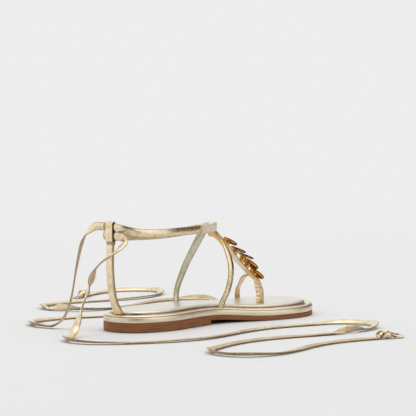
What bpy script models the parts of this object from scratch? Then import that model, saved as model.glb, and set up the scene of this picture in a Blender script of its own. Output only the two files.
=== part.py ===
"""Flat T-strap sandal with ankle ties, left shoe, at its real size.

Everything is worked out in the shoe's own directions, in millimetres:
    along   from the back end of the sole towards the toe
    across  from the sole's centre line towards the medial side (big toe)
    height  from the floor up
and placed by at(), which turns them into metres with the toe towards -Y,
the medial side towards -X and +Z up.
"""
import math

import bmesh
import bpy
import numpy as np
from mathutils import Matrix, Vector

# ---------------------------------------------------------------- sizes, mm
MM = 0.001
LENGTH = 250.0          # sole, end to end
CENTRE_ALONG = 122.75   # middle of the shoe's box, along
CENTRE_ACROSS = 0.82    # middle of the shoe's box, across
GAP = 0.3               # left between pieces that touch

HEEL_LIFT = 4.2         # block under the heel
HEEL_BREAST = 103.0     # where the heel block ends
PLATFORM = 6.6          # wrapped platform, rim height above the outsole
RIM = 6.9               # width of the rim round the footbed
FOOTBED = 3.7           # footbed above the rim

STRAP = 1.8             # thickness of folded strap leather
LACE_W, LACE_T = 7.5, 1.8
SLEEVE_WALL = 1.3
SLIP = 0.4             # clearance of the lace inside a loop
LACE_LIES = 1.0        # height of the lace's middle where it lies on the floor

DISC_T = 1.8
BOSS_HEAD, BOSS_FOOT = 0.40, 4.2   # the boss under a disc: head as a share of the disc, foot in mm
STUD_BACK = 0.20                   # how far behind the disc's middle it stands, as a share of the disc
STUD_STANDS = 2.8                  # from the strap's middle to the boss's foot

# Sole outline: half-widths each side of the centre line.
OUTLINE = [  # along/LENGTH, medial, lateral
    (0.035, 20.5, 21.5),
    (0.100, 28.4, 28.3),
    (0.180, 32.0, 31.4),
    (0.270, 29.9, 31.8),
    (0.360, 25.6, 31.4),
    (0.450, 23.8, 31.7),
    (0.540, 28.0, 34.2),
    (0.630, 35.8, 38.5),
    (0.720, 41.4, 41.3),
    (0.800, 43.0, 39.6),
    (0.870, 40.4, 33.6),
    (0.930, 32.8, 24.3),
    (0.972, 21.6, 14.4),
]
TIP_ACROSS = 7.5       # the toe's tip leans to the medial side

# Heights along the sole: arch behind the ball, toe spring in front of it.
PROFILE = [  # along, outsole underside, outsole top
    (0.0, 4.50, 8.70),
    (60.0, 4.50, 8.70),
    (95.0, 4.40, 8.60),
    (118.0, 3.60, 7.80),
    (138.0, 2.00, 6.20),
    (158.0, 0.45, 4.65),
    (170.0, 0.00, 4.20),
    (218.0, 0.00, 4.20),
    (236.0, 0.45, 4.60),
    (250.0, 1.30, 5.40),
]

# Straps.  "faces" is the way the outer side looks: along, across, height.
SIDE_MEDIAL = [  # along, across, height, faces..., width
    (119.6, 20.4, 14.8, 0.0, 1.0, 0.0, 8.0),
    (119.8, 21.1, 17.6, 0.0, 1.0, -0.1, 7.8),
    (120.5, 26.0, 27.0, 0.0, 1.0, -0.3, 7.6),
    (121.0, 31.0, 40.0, 0.0, 1.0, -0.1, 7.3),
    (121.6, 31.6, 54.0, 0.0, 1.0, 0.4, 7.1),
    (122.4, 25.8, 68.0, 0.15, 1.0, 0.9, 7.2),
    (122.6, 15.6, 79.6, 0.7, 0.9, 0.8, 7.4),
    (122.0, 8.6, 83.2, 1.0, 0.5, 0.5, 7.8),
    (120.6, 1.8, 84.4, 1.0, 0.1, 0.4, 7.6),
]
SIDE_LATERAL = [
    (106.6, -26.2, 15.3, 0.0, -1.0, 0.0, 6.8),
    (107.2, -27.4, 25.0, 0.0, -1.0, 0.1, 6.8),
    (109.0, -24.2, 39.0, 0.2, -1.0, 0.4, 6.9),
    (111.4, -17.6, 55.0, 0.5, -1.0, 0.7, 7.1),
    (114.6, -10.6, 69.5, 0.8, -1.0, 0.7, 7.3),
    (119.4, -5.0, 83.6, 1.0, -0.7, 0.3, 7.4),
]
T_STRAP = [
    (124.4, 2.6, 86.4, 1.0, 0.2, 0.5, 16.0),
    (130.2, 4.8, 80.4, 1.0, 0.1, 1.0, 12.0),
    (138.4, 6.8, 72.0, 1.0, 0.0, 1.0, 10.2),
    (150.0, 8.9, 59.2, 1.0, 0.0, 1.0, 8.6),
    (161.8, 10.7, 47.6, 1.0, 0.0, 1.0, 8.0),
    (171.0, 12.2, 40.0, 1.0, 0.0, 0.9, 7.8),
    (176.6, 13.0, 34.6, 1.0, 0.0, 0.5, 7.2),
    (178.6, 13.4, 27.6, 1.0, 0.0, 0.1, 6.8),
]
TOE_STRAP = [
    (171.6, 8.4, 40.6, 0.6, -0.1, 1.0, 6.0),
    (175.4, 0.4, 40.0, 0.3, -0.2, 1.0, 6.0),
    (181.6, -11.0, 36.6, 0.2, -0.6, 1.0, 5.8),
    (189.6, -22.6, 29.8, 0.1, -0.9, 0.7, 5.8),
    (195.0, -32.2, 21.6, 0.15, -1.0, 0.1, 5.8),
    (197.0, -34.4, 14.6, 0.15, -1.0, 0.0, 5.8),
    (197.2, -34.5, 11.3, 0.15, -1.0, 0.0, 5.8),
]
TOE_POST = [
    (177.6, 13.2, 32.0, 1.0, 0.0, 0.1, 6.8),
    (178.9, 13.5, 24.0, 1.0, 0.0, 0.0, 7.0),
    (179.4, 13.5, 15.2, 1.0, 0.0, 0.0, 7.4),
]
HEEL_STRAP = [
    (5.4, 2.4, 16.4, -1.0, 0.1, 0.0, 10.8),
    (5.0, 2.3, 18.2, -1.0, 0.08, 0.0, 10.2),
    (3.8, 1.8, 21.5, -1.0, 0.05, 0.0, 9.4),
    (1.5, 1.0, 27.5, -1.0, 0.02, 0.0, 8.9),
    (-1.2, 0.6, 40.0, -1.0, 0.0, 0.0, 8.8),
    (-2.5, 0.3, 56.0, -1.0, 0.0, 0.0, 8.8),
    (-2.4, 0.1, 70.0, -1.0, 0.0, 0.0, 8.8),
    (-1.9, 0.0, 83.3, -1.0, 0.0, 0.0, 9.0),
]

# The lace's ring round the ankle.  It crosses itself inside the heel loop,
# the medial side's strand above the lateral side's.
ANKLE_RING = [  # along, across, height of the lace's middle
    (-1.9, -8.6, 96.3),
    (-1.9, -1.5, 96.3),
    (-1.9, 3.5, 96.3),
    (-1.6, 7.5, 96.1),
    (1.6, 13.6, 94.6),
    (9.0, 19.2, 92.2),
    (20.0, 23.6, 90.6),
    (42.0, 27.6, 90.0),
    (64.0, 25.4, 90.1),
    (84.0, 20.0, 89.7),
    (100.0, 16.2, 89.9),
    (113.0, 13.6, 90.2),
    (121.6, 9.2, 90.7),
    (125.0, 2.6, 90.7),
    (121.6, -5.0, 89.0),
    (112.0, -13.0, 86.4),
    (92.0, -22.4, 83.4),
    (66.0, -27.6, 82.6),
    (40.0, -27.4, 83.6),
    (18.0, -21.6, 85.4),
    (8.0, -17.4, 87.0),
    (1.4, -12.6, 87.8),
    (-1.6, -7.5, 88.1),
    (-1.9, -3.5, 88.2),
    (-1.9, 1.5, 88.2),
    (-1.9, 8.6, 88.2),
]
SLEEVE_FROM, SLEEVE_TO = (97.0, 16.9), (118.8, -7.4)   # along, across of its ends

HEEL_LOOP_LOW, HEEL_LOOP_HIGH = 82.6, 101.9
HEEL_LOOP_WIDE = 9.7

# Discs on the T-strap, from the ankle down.
DISCS = [  # along, across, height of the disc's middle, slope down, diameter, lean to medial
    (144.3, 8.0, 74.8, 31.0, 14.4, 9.0),
    (153.8, 9.5, 66.5, 22.0, 15.2, 9.0),
    (162.8, 10.8, 60.0, 20.0, 15.4, 10.0),
    (168.4, 11.9, 51.8, 40.0, 16.2, 8.0),
    (175.6, 12.9, 42.0, 40.0, 16.0, 9.0),
]

# The untied ends: out of the heel loop, down behind the heel, then flat on
# the floor.  "lie" turns the lace from standing on its edge to lying flat.
TIE_MEDIAL = [  # along, across, height, lie (0 on edge, 1 flat)
    (-1.9, 9.0, 88.2, 0.0),
    (-2.0, 12.4, 88.2, 0.0),
    (-3.2, 19.0, 87.2, 0.1),
    (-7.0, 25.0, 84.9, 0.3),
    (-12.3, 28.3, 82.0, 0.6),
    (-19.4, 28.7, 77.6, 0.85),
    (-25.0, 25.6, 73.1, 1.0),
    (-29.3, 19.9, 68.1, 1.0),
    (-34.2, 13.8, 59.1, 1.0),
    (-34.6, 8.9, 47.3, 1.0),
    (-37.8, 6.6, 35.7, 1.0),
    (-41.1, 3.4, 22.2, 1.0),
    (-47.3, 3.8, 9.4, 1.0),
    (-55.8, 7.9, 3.2, 1.0),
    (-66.5, 13.3, 1.0, 1.0),
    (-77.0, 28.0, 1.0, 1.0),
    (-72.0, 49.0, 1.0, 1.0),
    (-48.0, 71.0, 1.0, 1.0),
    (-10.0, 90.0, 1.0, 1.0),
    (34.0, 96.0, 1.0, 1.0),
    (76.0, 88.0, 1.0, 1.0),
    (120.0, 84.0, 1.0, 1.0),
    (164.0, 92.0, 1.0, 1.0),
    (198.0, 110.0, 1.0, 1.0),
    (201.0, 140.0, 1.0, 1.0),
    (170.0, 156.0, 1.0, 1.0),
    (126.0, 153.0, 1.0, 1.0),
    (80.0, 141.0, 1.0, 1.0),
    (34.0, 138.0, 1.0, 1.0),
    (-10.0, 149.0, 1.0, 1.0),
    (-41.0, 172.0, 1.0, 1.0),
    (-34.0, 203.0, 1.0, 1.0),
    (2.0, 213.0, 1.0, 1.0),
    (46.0, 202.0, 1.0, 1.0),
    (90.0, 196.0, 1.0, 1.0),
    (134.0, 204.0, 1.0, 1.0),
]
TIE_LATERAL = [
    (-1.9, -9.0, 96.3, 0.0),
    (-1.9, -12.6, 96.3, 0.0),
    (-2.0, -20.0, 95.8, 0.1),
    (-4.0, -31.5, 87.5, 0.6),
    (-6.5, -38.0, 69.0, 1.0),
    (-9.0, -41.5, 46.0, 1.0),
    (-12.0, -45.0, 23.0, 1.0),
    (-16.5, -52.5, 7.0, 1.0),
    (-22.0, -65.0, 1.1, 1.0),
    (-23.0, -83.0, 1.0, 1.0),
    (-8.0, -101.0, 1.0, 1.0),
    (24.0, -108.0, 1.0, 1.0),
    (64.0, -98.0, 1.0, 1.0),
    (106.0, -86.0, 1.0, 1.0),
    (150.0, -84.0, 1.0, 1.0),
    (198.0, -92.0, 1.0, 1.0),
    (238.0, -107.0, 1.0, 1.0),
    (246.0, -136.0, 1.0, 1.0),
    (216.0, -152.0, 1.0, 1.0),
    (172.0, -147.0, 1.0, 1.0),
    (124.0, -138.0, 1.0, 1.0),
    (82.0, -152.0, 1.0, 1.0),
    (76.0, -184.0, 1.0, 1.0),
    (108.0, -204.0, 1.0, 1.0),
    (154.0, -198.0, 1.0, 1.0),
    (200.0, -188.0, 1.0, 1.0),
    (242.0, -196.0, 1.0, 1.0),
    (264.0, -220.0, 1.0, 1.0),
    (248.0, -248.0, 1.0, 1.0),
    (212.0, -252.0, 1.0, 1.0),
    (184.0, -242.0, 1.0, 1.0),
]
KNOT_LONG, KNOT_WIDE, KNOT_HIGH = 13.0, 11.0, 8.0
KNOT_TAIL = 13.0

COLOURS = {  # base colour, metallic, roughness
    "sole_edge": ((0.24, 0.10, 0.045), 0.0, 0.55),
    "gold_leather": ((0.78, 0.64, 0.40), 0.85, 0.32),
    "gold_insole": ((0.80, 0.74, 0.62), 0.55, 0.30),
    "gold_metal": ((0.83, 0.55, 0.20), 1.0, 0.14),
}


# ------------------------------------------------------------- small helpers
def at(along, across, height):
    return Vector((-(across - CENTRE_ACROSS), -(along - CENTRE_ALONG), height)) * MM


class Smooth:
    """A cubic curve through rows of numbers, read by the distance along it."""

    def __init__(self, rows, closed=False, ruler=3):
        rows = np.array(rows, float)
        if closed:
            rows = np.vstack([rows, rows[:1]])
        step = np.linalg.norm(np.diff(rows[:, :ruler], axis=0), axis=1)
        t = np.concatenate([[0.0], np.cumsum(step)])
        n = len(rows)
        a, b = np.zeros((n, n)), np.zeros((n, rows.shape[1]))
        for i in range(1, n - 1):
            a[i, i - 1], a[i, i], a[i, i + 1] = step[i - 1], 2 * (step[i - 1] + step[i]), step[i]
            b[i] = 6 * ((rows[i + 1] - rows[i]) / step[i] - (rows[i] - rows[i - 1]) / step[i - 1])
        if closed:
            a[0, 0], a[0, -1] = 1, -1
            a[-1, 0], a[-1, 1] = 2 * step[0], step[0]
            a[-1, -2], a[-1, -1] = step[-1], 2 * step[-1]
            b[-1] = 6 * ((rows[1] - rows[0]) / step[0] - (rows[-1] - rows[-2]) / step[-1])
        else:
            a[0, 0] = a[-1, -1] = 1
        self.bend = np.linalg.solve(a, b)
        self.rows, self.t, self.step = rows, t, step
        fine = np.linspace(0, t[-1], 40 * n)
        self._fine = fine
        p = self._value(fine)[:, :ruler]
        self.run = np.concatenate([[0.0], np.cumsum(np.linalg.norm(np.diff(p, axis=0), axis=1))])
        self.length = float(self.run[-1])

    def _value(self, t):
        t = np.atleast_1d(t)
        i = np.clip(np.searchsorted(self.t, t, side="right") - 1, 0, len(self.step) - 1)
        h, k = self.step[i][:, None], (t - self.t[i])[:, None]
        y0, y1, m0, m1 = self.rows[i], self.rows[i + 1], self.bend[i], self.bend[i + 1]
        return (m0 * (h - k) ** 3 / (6 * h) + m1 * k ** 3 / (6 * h)
                + (y0 / h - m0 * h / 6) * (h - k) + (y1 / h - m1 * h / 6) * k)

    def read(self, distances):
        return self._value(np.interp(distances, self.run, self._fine))

    def spread(self, n, start=0.0, end=None):
        """n rows evenly spaced from start to end (mm along the curve)."""
        return self.read(np.linspace(start, self.length if end is None else end, n))

    def heading(self, distances, ruler=3):
        """Unit directions of travel at those distances."""
        ahead = self.read(np.minimum(np.asarray(distances) + 0.4, self.length))
        behind = self.read(np.maximum(np.asarray(distances) - 0.4, 0.0))
        t = (ahead - behind)[:, :ruler]
        return t / np.linalg.norm(t, axis=1)[:, None]


def outline(n_side, inset=0.0, toe_inset=0.0):
    """The sole's outline as two rows of points, medial and lateral, each from
    the heel's back to the toe's tip, moved in by inset (more at the toe)."""
    ring = ([(0.0, 0.0)]
            + [(f * LENGTH, m) for f, m, _ in OUTLINE]
            + [(LENGTH, TIP_ACROSS)]
            + [(f * LENGTH, -w) for f, _, w in reversed(OUTLINE)])
    curve = Smooth(ring, closed=True, ruler=2)
    p = curve.spread(1601)[:-1]
    tip = int(np.argmin(np.hypot(*(p - (LENGTH, TIP_ACROSS)).T)))
    sides = []
    for part in (np.arange(0, tip + 1), np.arange(1600, tip - 1, -1)):
        pick = part[np.round(np.linspace(0, len(part) - 1, n_side + 1)).astype(int)] % 1600
        ahead, behind = p[(pick + 4) % 1600], p[(pick - 4) % 1600]
        t = ahead - behind
        inward = np.stack([-t[:, 1], t[:, 0]], 1) / np.hypot(*t.T)[:, None]
        if (inward * (np.array([125.0, 0.0]) - p[pick])).sum() < 0:
            inward = -inward
        q = p[pick]
        more = np.clip((q[:, 0] - 222.0) / 24.0, 0, 1) ** 2 * toe_inset
        sides.append(q + inward * (inset + more)[:, None])
    return sides


def height_of(column, least=0.0):
    table = Smooth([(r[0], r[column]) for r in PROFILE], ruler=1)
    return lambda along: np.maximum(table._value(np.clip(along, 0, LENGTH))[:, 1], least)


under_z, top_z = height_of(1), height_of(2, PROFILE[6][2])


def finish(name, bm, material, collection):
    bmesh.ops.recalc_face_normals(bm, faces=bm.faces)
    mesh = bpy.data.meshes.new(name)
    bm.to_mesh(mesh)
    bm.free()
    obj = bpy.data.objects.new(name, mesh)
    collection.objects.link(obj)
    mesh.materials.append(material)
    mesh.shade_smooth()
    mesh.set_sharp_from_angle(angle=math.radians(40))
    return obj


def bridge(bm, low, high, closed=True):
    n = len(low)
    for i in range(n if closed else n - 1):
        j = (i + 1) % n
        bm.faces.new((low[i], low[j], high[j], high[i]))


def layer(name, rings, n_side, material, collection):
    """A layer of the sole: rings of (inset, height of a point), bottom first,
    with straight rungs across its underside and its top."""
    bm = bmesh.new()
    made = []
    for inset, toe, z in rings:
        medial, lateral = outline(n_side, inset, toe)
        loop = np.vstack([medial, lateral[-2:0:-1]])
        heights = z(loop[:, 0])
        made.append([bm.verts.new(at(s, m, h)) for (s, m), h in zip(loop, heights)])
    for low, high in zip(made, made[1:]):
        bridge(bm, low, high)
    n = len(made[0])
    for ring in (made[0], made[-1]):
        bm.faces.new((ring[0], ring[1], ring[n - 1]))
        for i in range(1, n // 2 - 1):
            bm.faces.new((ring[i], ring[i + 1], ring[n - i - 1], ring[n - i]))
        bm.faces.new((ring[n // 2 - 1], ring[n // 2], ring[n // 2 + 1]))
    return finish(name, bm, material, collection)


def rounded(width, thick, radius, steps=1):
    """A rectangle with rounded corners, across and outward."""
    pts = []
    for cx, cy, a0 in ((1, 1, 0), (-1, 1, 90), (-1, -1, 180), (1, -1, 270)):
        for k in range(steps + 1):
            a = math.radians(a0 + 90 * k / steps)
            pts.append((cx * (width / 2 - radius) + radius * math.cos(a),
                        cy * (thick / 2 - radius) + radius * math.sin(a)))
    return pts


def frames(points, faces, t=None):
    """Side and face directions of a strap at each point of its path."""
    if t is None:
        t = np.gradient(np.asarray(points, float), axis=0)
        t /= np.linalg.norm(t, axis=1)[:, None]
    f = np.asarray(faces, float)
    f = f - (f * t).sum(1)[:, None] * t
    f /= np.linalg.norm(f, axis=1)[:, None]
    return np.cross(t, f), f


def sweep(name, points, faces, sections, material, collection, travel=None):
    """A strap: its section carried along a path, closed at both ends."""
    side, out = frames(points, faces, travel)
    bm = bmesh.new()

    def ring(i, section):
        return [bm.verts.new(at(*(points[i] + side[i] * a + out[i] * b))) for a, b in section]

    outer = [ring(i, s) for i, s in enumerate(sections)]
    for low, high in zip(outer, outer[1:]):
        bridge(bm, low, high)
    bm.faces.new(outer[0])
    bm.faces.new(outer[-1])
    return finish(name, bm, material, collection)


def strap(name, rows, n, thick, material, collection, radius=0.55):
    table = Smooth(rows).spread(n)
    sections = [rounded(w, thick, radius) for w in table[:, 6]]
    return sweep(name, table[:, :3], table[:, 3:6], sections, material, collection)


def material_of(name):
    base, metallic, roughness = COLOURS[name]
    m = bpy.data.materials.new(name)
    m.use_nodes = True
    p = m.node_tree.nodes["Principled BSDF"]
    p.inputs["Base Color"].default_value = (*base, 1.0)
    p.inputs["Metallic"].default_value = metallic
    p.inputs["Roughness"].default_value = roughness
    m.diffuse_color = (*base, 1.0)
    return m


def combine(body, tools, operation="UNION"):
    """Adds each tool's form to the body, or cuts it out."""
    for tool in tools:
        tool.hide_render = True
        tool.display_type = "WIRE"
        step = body.modifiers.new(tool.name, "BOOLEAN")
        step.operation = operation
        step.solver = "EXACT"
        step.object = tool


# ------------------------------------------------------------------ building
def clear():
    for obj in list(bpy.data.objects):
        bpy.data.objects.remove(obj, do_unlink=True)


def main():
    clear()
    scene = bpy.context.scene
    shoe = bpy.data.collections.new("t_strap_sandal")
    cutters = bpy.data.collections.new("cutters")
    for c in (shoe, cutters):
        scene.collection.children.link(c)
    sole_edge, leather = material_of("sole_edge"), material_of("gold_leather")
    insole, metal = material_of("gold_insole"), material_of("gold_metal")

    # outsole: true outline, arch and toe spring, with softened edges
    layer("outsole", [
        (1.0, 0, lambda s: under_z(s)),
        (0.2, 0, lambda s: under_z(s) + 0.7),
        (0.0, 0, lambda s: under_z(s) + 2.0),
        (0.3, 0, lambda s: top_z(s)),
    ], 36, sole_edge, shoe)

    # heel block: the outline up to its breast, straight across in front
    medial, lateral = outline(60)
    cut = []
    for side in (medial, lateral):
        keep = side[side[:, 0] < HEEL_BREAST - 1.5]
        edge = np.interp(HEEL_BREAST, side[:40, 0], side[:40, 1])
        cut.append(np.vstack([keep, [HEEL_BREAST, edge]]))
    loop = np.vstack([cut[0], cut[1][:0:-1]])
    bm = bmesh.new()
    middle = np.array([52.0, 0.0])
    made = []
    for shrink, z in ((0.9, 0.0), (0.0, 0.9), (0.0, HEEL_LIFT)):
        d = middle - loop
        ring = loop + d / np.hypot(*d.T)[:, None] * shrink
        made.append([bm.verts.new(at(s, m, z)) for s, m in ring])
    for low, high in zip(made, made[1:]):
        bridge(bm, low, high)
    bm.faces.new(made[0])
    bm.faces.new(made[-1])
    finish("heel_lift", bm, sole_edge, shoe)

    # platform: rounded rim all round, flat inside it
    layer("platform", [
        (1.2, 0, lambda s: top_z(s) + GAP),
        (0.3, 0, lambda s: top_z(s) + 1.0),
        (0.0, 0, lambda s: top_z(s) + 2.6),
        (0.3, 0, lambda s: top_z(s) + 4.4),
        (1.3, 0, lambda s: top_z(s) + 5.9),
        (3.0, 0, lambda s: top_z(s) + PLATFORM),
    ], 36, leather, shoe)

    # footbed: a low pad inside the rim, its edge rolled over
    rim = PLATFORM + GAP
    layer("footbed", [
        (RIM + 0.5, 4.0, lambda s: top_z(s) + rim),
        (RIM, 4.0, lambda s: top_z(s) + rim + 0.8),
        (RIM, 4.0, lambda s: top_z(s) + rim + 2.0),
        (RIM + 0.7, 4.0, lambda s: top_z(s) + rim + 3.0),
        (RIM + 2.2, 4.0, lambda s: top_z(s) + rim + 3.6),
        (RIM + 5.0, 4.0, lambda s: top_z(s) + rim + FOOTBED),
    ], 34, insole, shoe)

    # the lace's ring, standing on edge round the ankle
    ring = Smooth(ANKLE_RING)
    table = ring.spread(97)
    centre = np.array([60.0, 0.0, 90.0])

    def ring_faces(p):
        """Outwards round the ankle, straight back inside the heel loop."""
        f = (p - centre) * (1, 1, 0)
        f /= np.linalg.norm(f, axis=1)[:, None]
        back = np.clip((12.0 - p[:, 0]) / 12.0, 0, 1)[:, None]
        return f * (1 - back) + np.array([-1.0, 0, 0]) * back

    lace = rounded(LACE_W, LACE_T, 0.5)
    sweep("ankle_tie", table, ring_faces(table), [lace] * len(table), leather, shoe,
          travel=ring.heading(np.linspace(0, ring.length, len(table))))

    # front sleeve, which the ring runs through
    start = int(np.argmin(np.hypot(*(table[:, :2] - SLEEVE_FROM).T)))
    stop = int(np.argmin(np.hypot(*(table[:, :2] - SLEEVE_TO).T))) + 1
    way = ring.heading(np.linspace(0, ring.length, 97))
    high, deep = LACE_W + 2 * SLIP, LACE_T + 2 * SLIP
    outer = rounded(high + 2 * SLEEVE_WALL, deep + 2 * SLEEVE_WALL, 1.6, 2)
    inner = rounded(high, deep, 0.4)
    path = table[start:stop]
    upper = sweep("upper", path, ring_faces(path), [outer] * len(path), leather, shoe,
                  travel=way[start:stop])
    combine(upper, [
        strap("side_strap_lateral", SIDE_LATERAL, 20, STRAP, leather, cutters),
        strap("t_strap", T_STRAP, 20, STRAP, leather, cutters),
        strap("side_strap_medial", SIDE_MEDIAL, 20, STRAP, leather, cutters),
        strap("toe_strap", TOE_STRAP, 18, STRAP, leather, cutters),
        strap("toe_post", TOE_POST, 7, 4.0, leather, cutters, 1.6),
    ])
    path = table[start - 1:stop + 1]
    combine(upper, [sweep("sleeve_bore", path, ring_faces(path), [inner] * len(path), leather,
                          cutters, travel=way[start - 1:stop + 1])], "DIFFERENCE")

    # heel strap with its loop at the top
    mid_z = (HEEL_LOOP_LOW + HEEL_LOOP_HIGH) / 2
    tall = HEEL_LOOP_HIGH - HEEL_LOOP_LOW
    outer = rounded(tall, deep + 2 * SLEEVE_WALL, 1.8, 3)
    inner = rounded(tall - 2 * SLEEVE_WALL, deep, 0.5)

    def level(half):
        return np.stack([np.full(3, -1.9), np.linspace(-half, half, 3), np.full(3, mid_z)], 1)

    back = [(-1.0, 0.0, 0.0)] * 3
    heel = sweep("heel_strap", level(HEEL_LOOP_WIDE / 2), back, [outer] * 3, leather, shoe)
    combine(heel, [strap("heel_strap_stem", HEEL_STRAP, 16, 2.2, leather, cutters)])
    combine(heel, [sweep("heel_loop_bore", level(8.0), back, [inner] * 3, leather, cutters)],
            "DIFFERENCE")

    # discs, each turned from one profile, on a boss nearer their upper edge
    strap_line = Smooth(T_STRAP).spread(400)[:, :3]
    for k, (along, m, z, slope, wide, lean) in enumerate(DISCS, 1):
        a, b, back = math.radians(slope), math.radians(lean), STUD_BACK * wide
        below = -np.array([math.sin(a) * math.cos(b), math.sin(b), math.cos(a) * math.cos(b)])
        tilt = Matrix.Rotation(a, 4, "X") @ Matrix.Rotation(-b, 4, "Y")
        upslope = np.array([-math.cos(a), 0.0, math.sin(a)])
        foot = np.array([along, m, z]) + upslope * back
        reach = strap_line - foot
        off = np.linalg.norm(reach - (reach @ below)[:, None] * below, axis=1)
        drop = float(reach[int(np.argmin(off))] @ below) - STUD_STANDS
        r, t = wide / 2, DISC_T / 2
        profile = [(0.0, t + 0.4), (r * 0.6, t + 0.25), (r - 0.6, t), (r, t - 0.4),
                   (r, -t + 0.6), (r - 0.8, -t), (0.0, -t)]
        mesh = bpy.data.meshes.new(f"disc_{k}")
        mesh.from_pydata([(x * MM, 0, h * MM) for x, h in profile],
                         [(i, i + 1) for i in range(len(profile) - 1)], [])
        disc = bpy.data.objects.new(f"disc_{k}", mesh)
        shoe.objects.link(disc)
        mesh.materials.append(metal)
        turn = disc.modifiers.new("turn", "SCREW")
        turn.axis = "Z"
        turn.angle = math.tau
        turn.steps = turn.render_steps = 28
        turn.use_merge_vertices = True
        turn.merge_threshold = 0.00001
        disc.location = at(along, m, z)
        disc.rotation_euler = tilt.to_euler()
        bm = bmesh.new()
        bmesh.ops.create_cone(bm, cap_ends=True, segments=16, radius1=BOSS_FOOT / 2 * MM,
                              radius2=BOSS_HEAD * wide / 2 * MM, depth=drop * MM)
        bmesh.ops.transform(
            bm, verts=bm.verts,
            matrix=Matrix.Translation(disc.location) @ tilt
            @ Matrix.Translation(Vector((0, back, -drop / 2)) * MM))
        combine(disc, [finish(f"boss_{k}", bm, metal, cutters)])
        print(f"disc_{k}: boss {drop:.1f} mm deep")

    # untied ends and the knot on each
    for side, rows in (("medial", TIE_MEDIAL), ("lateral", TIE_LATERAL)):
        route = Smooth(rows)
        drop = 140.0                             # closer steps down to the floor
        steps = np.concatenate([np.linspace(0, drop, 24), np.linspace(drop, route.length, 53)[1:]])
        n = len(steps)
        table, tangent = route.read(steps), route.heading(steps)
        table[:, 2] = table[:, 2].clip(LACE_LIES, None)
        heading = tangent[:, :2] / np.linalg.norm(tangent[:, :2], axis=1)[:, None]
        level = np.stack([-heading[:, 1], heading[:, 0], np.zeros(n)], 1)
        flat = np.cross(tangent, level)          # the flat lace's upper face
        lie = table[:, 3:4].clip(0, 1)
        faces = np.array([-1.0, 0.0, 0.0]) * (1 - lie) + flat * lie
        sweep(f"tie_{side}", table[:, :3], faces, [lace] * n, leather, shoe, travel=tangent)

        end, way = table[-1, :3], heading[-1]
        ball = bpy.data.meshes.new(f"tie_knot_{side}")
        bm = bmesh.new()
        bmesh.ops.create_uvsphere(bm, u_segments=16, v_segments=10, radius=1.0)
        for v in bm.verts:
            v.co = Vector((v.co.x * KNOT_LONG / 2, v.co.y * KNOT_WIDE / 2, v.co.z * KNOT_HIGH / 2)) * MM
        angle = math.atan2(-way[0], -way[1])
        centre_knot = at(end[0] + way[0] * (KNOT_LONG / 2 + 0.6), end[1] + way[1] * (KNOT_LONG / 2 + 0.6),
                         KNOT_HIGH / 2 + 0.15)
        bmesh.ops.transform(bm, matrix=Matrix.Translation(centre_knot) @ Matrix.Rotation(angle, 4, "Z"),
                            verts=bm.verts)
        knot = finish(f"tie_knot_{side}", bm, leather, shoe)
        tail_from = np.array([end[0] + way[0] * 9.0, end[1] + way[1] * 9.0, 2.2])
        tail_to = tail_from + np.array([way[0], way[1], 0.0]) * (KNOT_TAIL + 2.0)
        tail_path = np.linspace(tail_from, tail_to - (0, 0, 1.0), 4)
        tail = sweep(f"tail_{side}", tail_path, [(0, 0, 1.0)] * 4,
                     [rounded(w, LACE_T, 0.5) for w in (5.4, 6.2, 6.6, 6.8)], leather, cutters)
        combine(knot, [tail])
        print(f"tie_{side}: {route.length:.1f} mm")
    print(f"ring: {ring.length:.1f} mm")


main()
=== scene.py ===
"""Looks of the flat T-strap sandal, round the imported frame.

Shapes are worked out in the shoe's own directions, in millimetres:
    along   from the back end of the sole towards the toe
    across  from the sole's centre line towards the medial side (big toe)
    height  from the floor up
and placed in the row frame, in metres: toe to -Y, medial side to -X, +Z up.
"""

import math

import bmesh
import bpy
import numpy as np
from mathutils import Matrix, Vector, noise


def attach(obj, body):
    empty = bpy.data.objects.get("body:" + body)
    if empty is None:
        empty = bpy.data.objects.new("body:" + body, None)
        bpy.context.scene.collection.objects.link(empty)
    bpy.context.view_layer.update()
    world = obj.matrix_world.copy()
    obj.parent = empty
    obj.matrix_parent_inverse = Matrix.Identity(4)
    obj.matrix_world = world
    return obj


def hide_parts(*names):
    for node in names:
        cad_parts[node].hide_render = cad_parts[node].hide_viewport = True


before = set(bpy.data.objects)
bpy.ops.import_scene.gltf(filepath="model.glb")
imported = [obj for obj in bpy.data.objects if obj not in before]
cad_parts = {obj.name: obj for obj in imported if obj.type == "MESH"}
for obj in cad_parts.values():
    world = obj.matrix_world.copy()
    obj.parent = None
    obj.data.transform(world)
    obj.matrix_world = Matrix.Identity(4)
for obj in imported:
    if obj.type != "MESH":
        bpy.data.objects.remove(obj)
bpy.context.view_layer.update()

# ------------------------------------------------------------------ sizes, mm
MM = 0.001
LENGTH = 250.0
CENTRE_ALONG, CENTRE_ACROSS = 122.75, 0.82
HEEL_LIFT, HEEL_BREAST = 4.2, 103.0
PLATFORM, RIM, FOOTBED = 6.6, 6.9, 3.7
GAP = 0.3
STRAP = 1.8
LACE_W, LACE_T, LACE_LIES = 7.5, 1.8, 1.0
SLEEVE_WALL, SLIP = 1.3, 0.4
DISC_T, STUD_BACK = 1.8, 0.20  # how far back the boss sits, as a share of the disc
BOSS_HEAD, BOSS_FOOT = 0.40, 4.2
KNOT_LONG, KNOT_WIDE, KNOT_HIGH, KNOT_TAIL = 13.0, 11.0, 8.0, 13.0
HEEL_LOOP_LOW, HEEL_LOOP_HIGH, HEEL_LOOP_WIDE = 82.6, 101.9, 9.7

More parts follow.
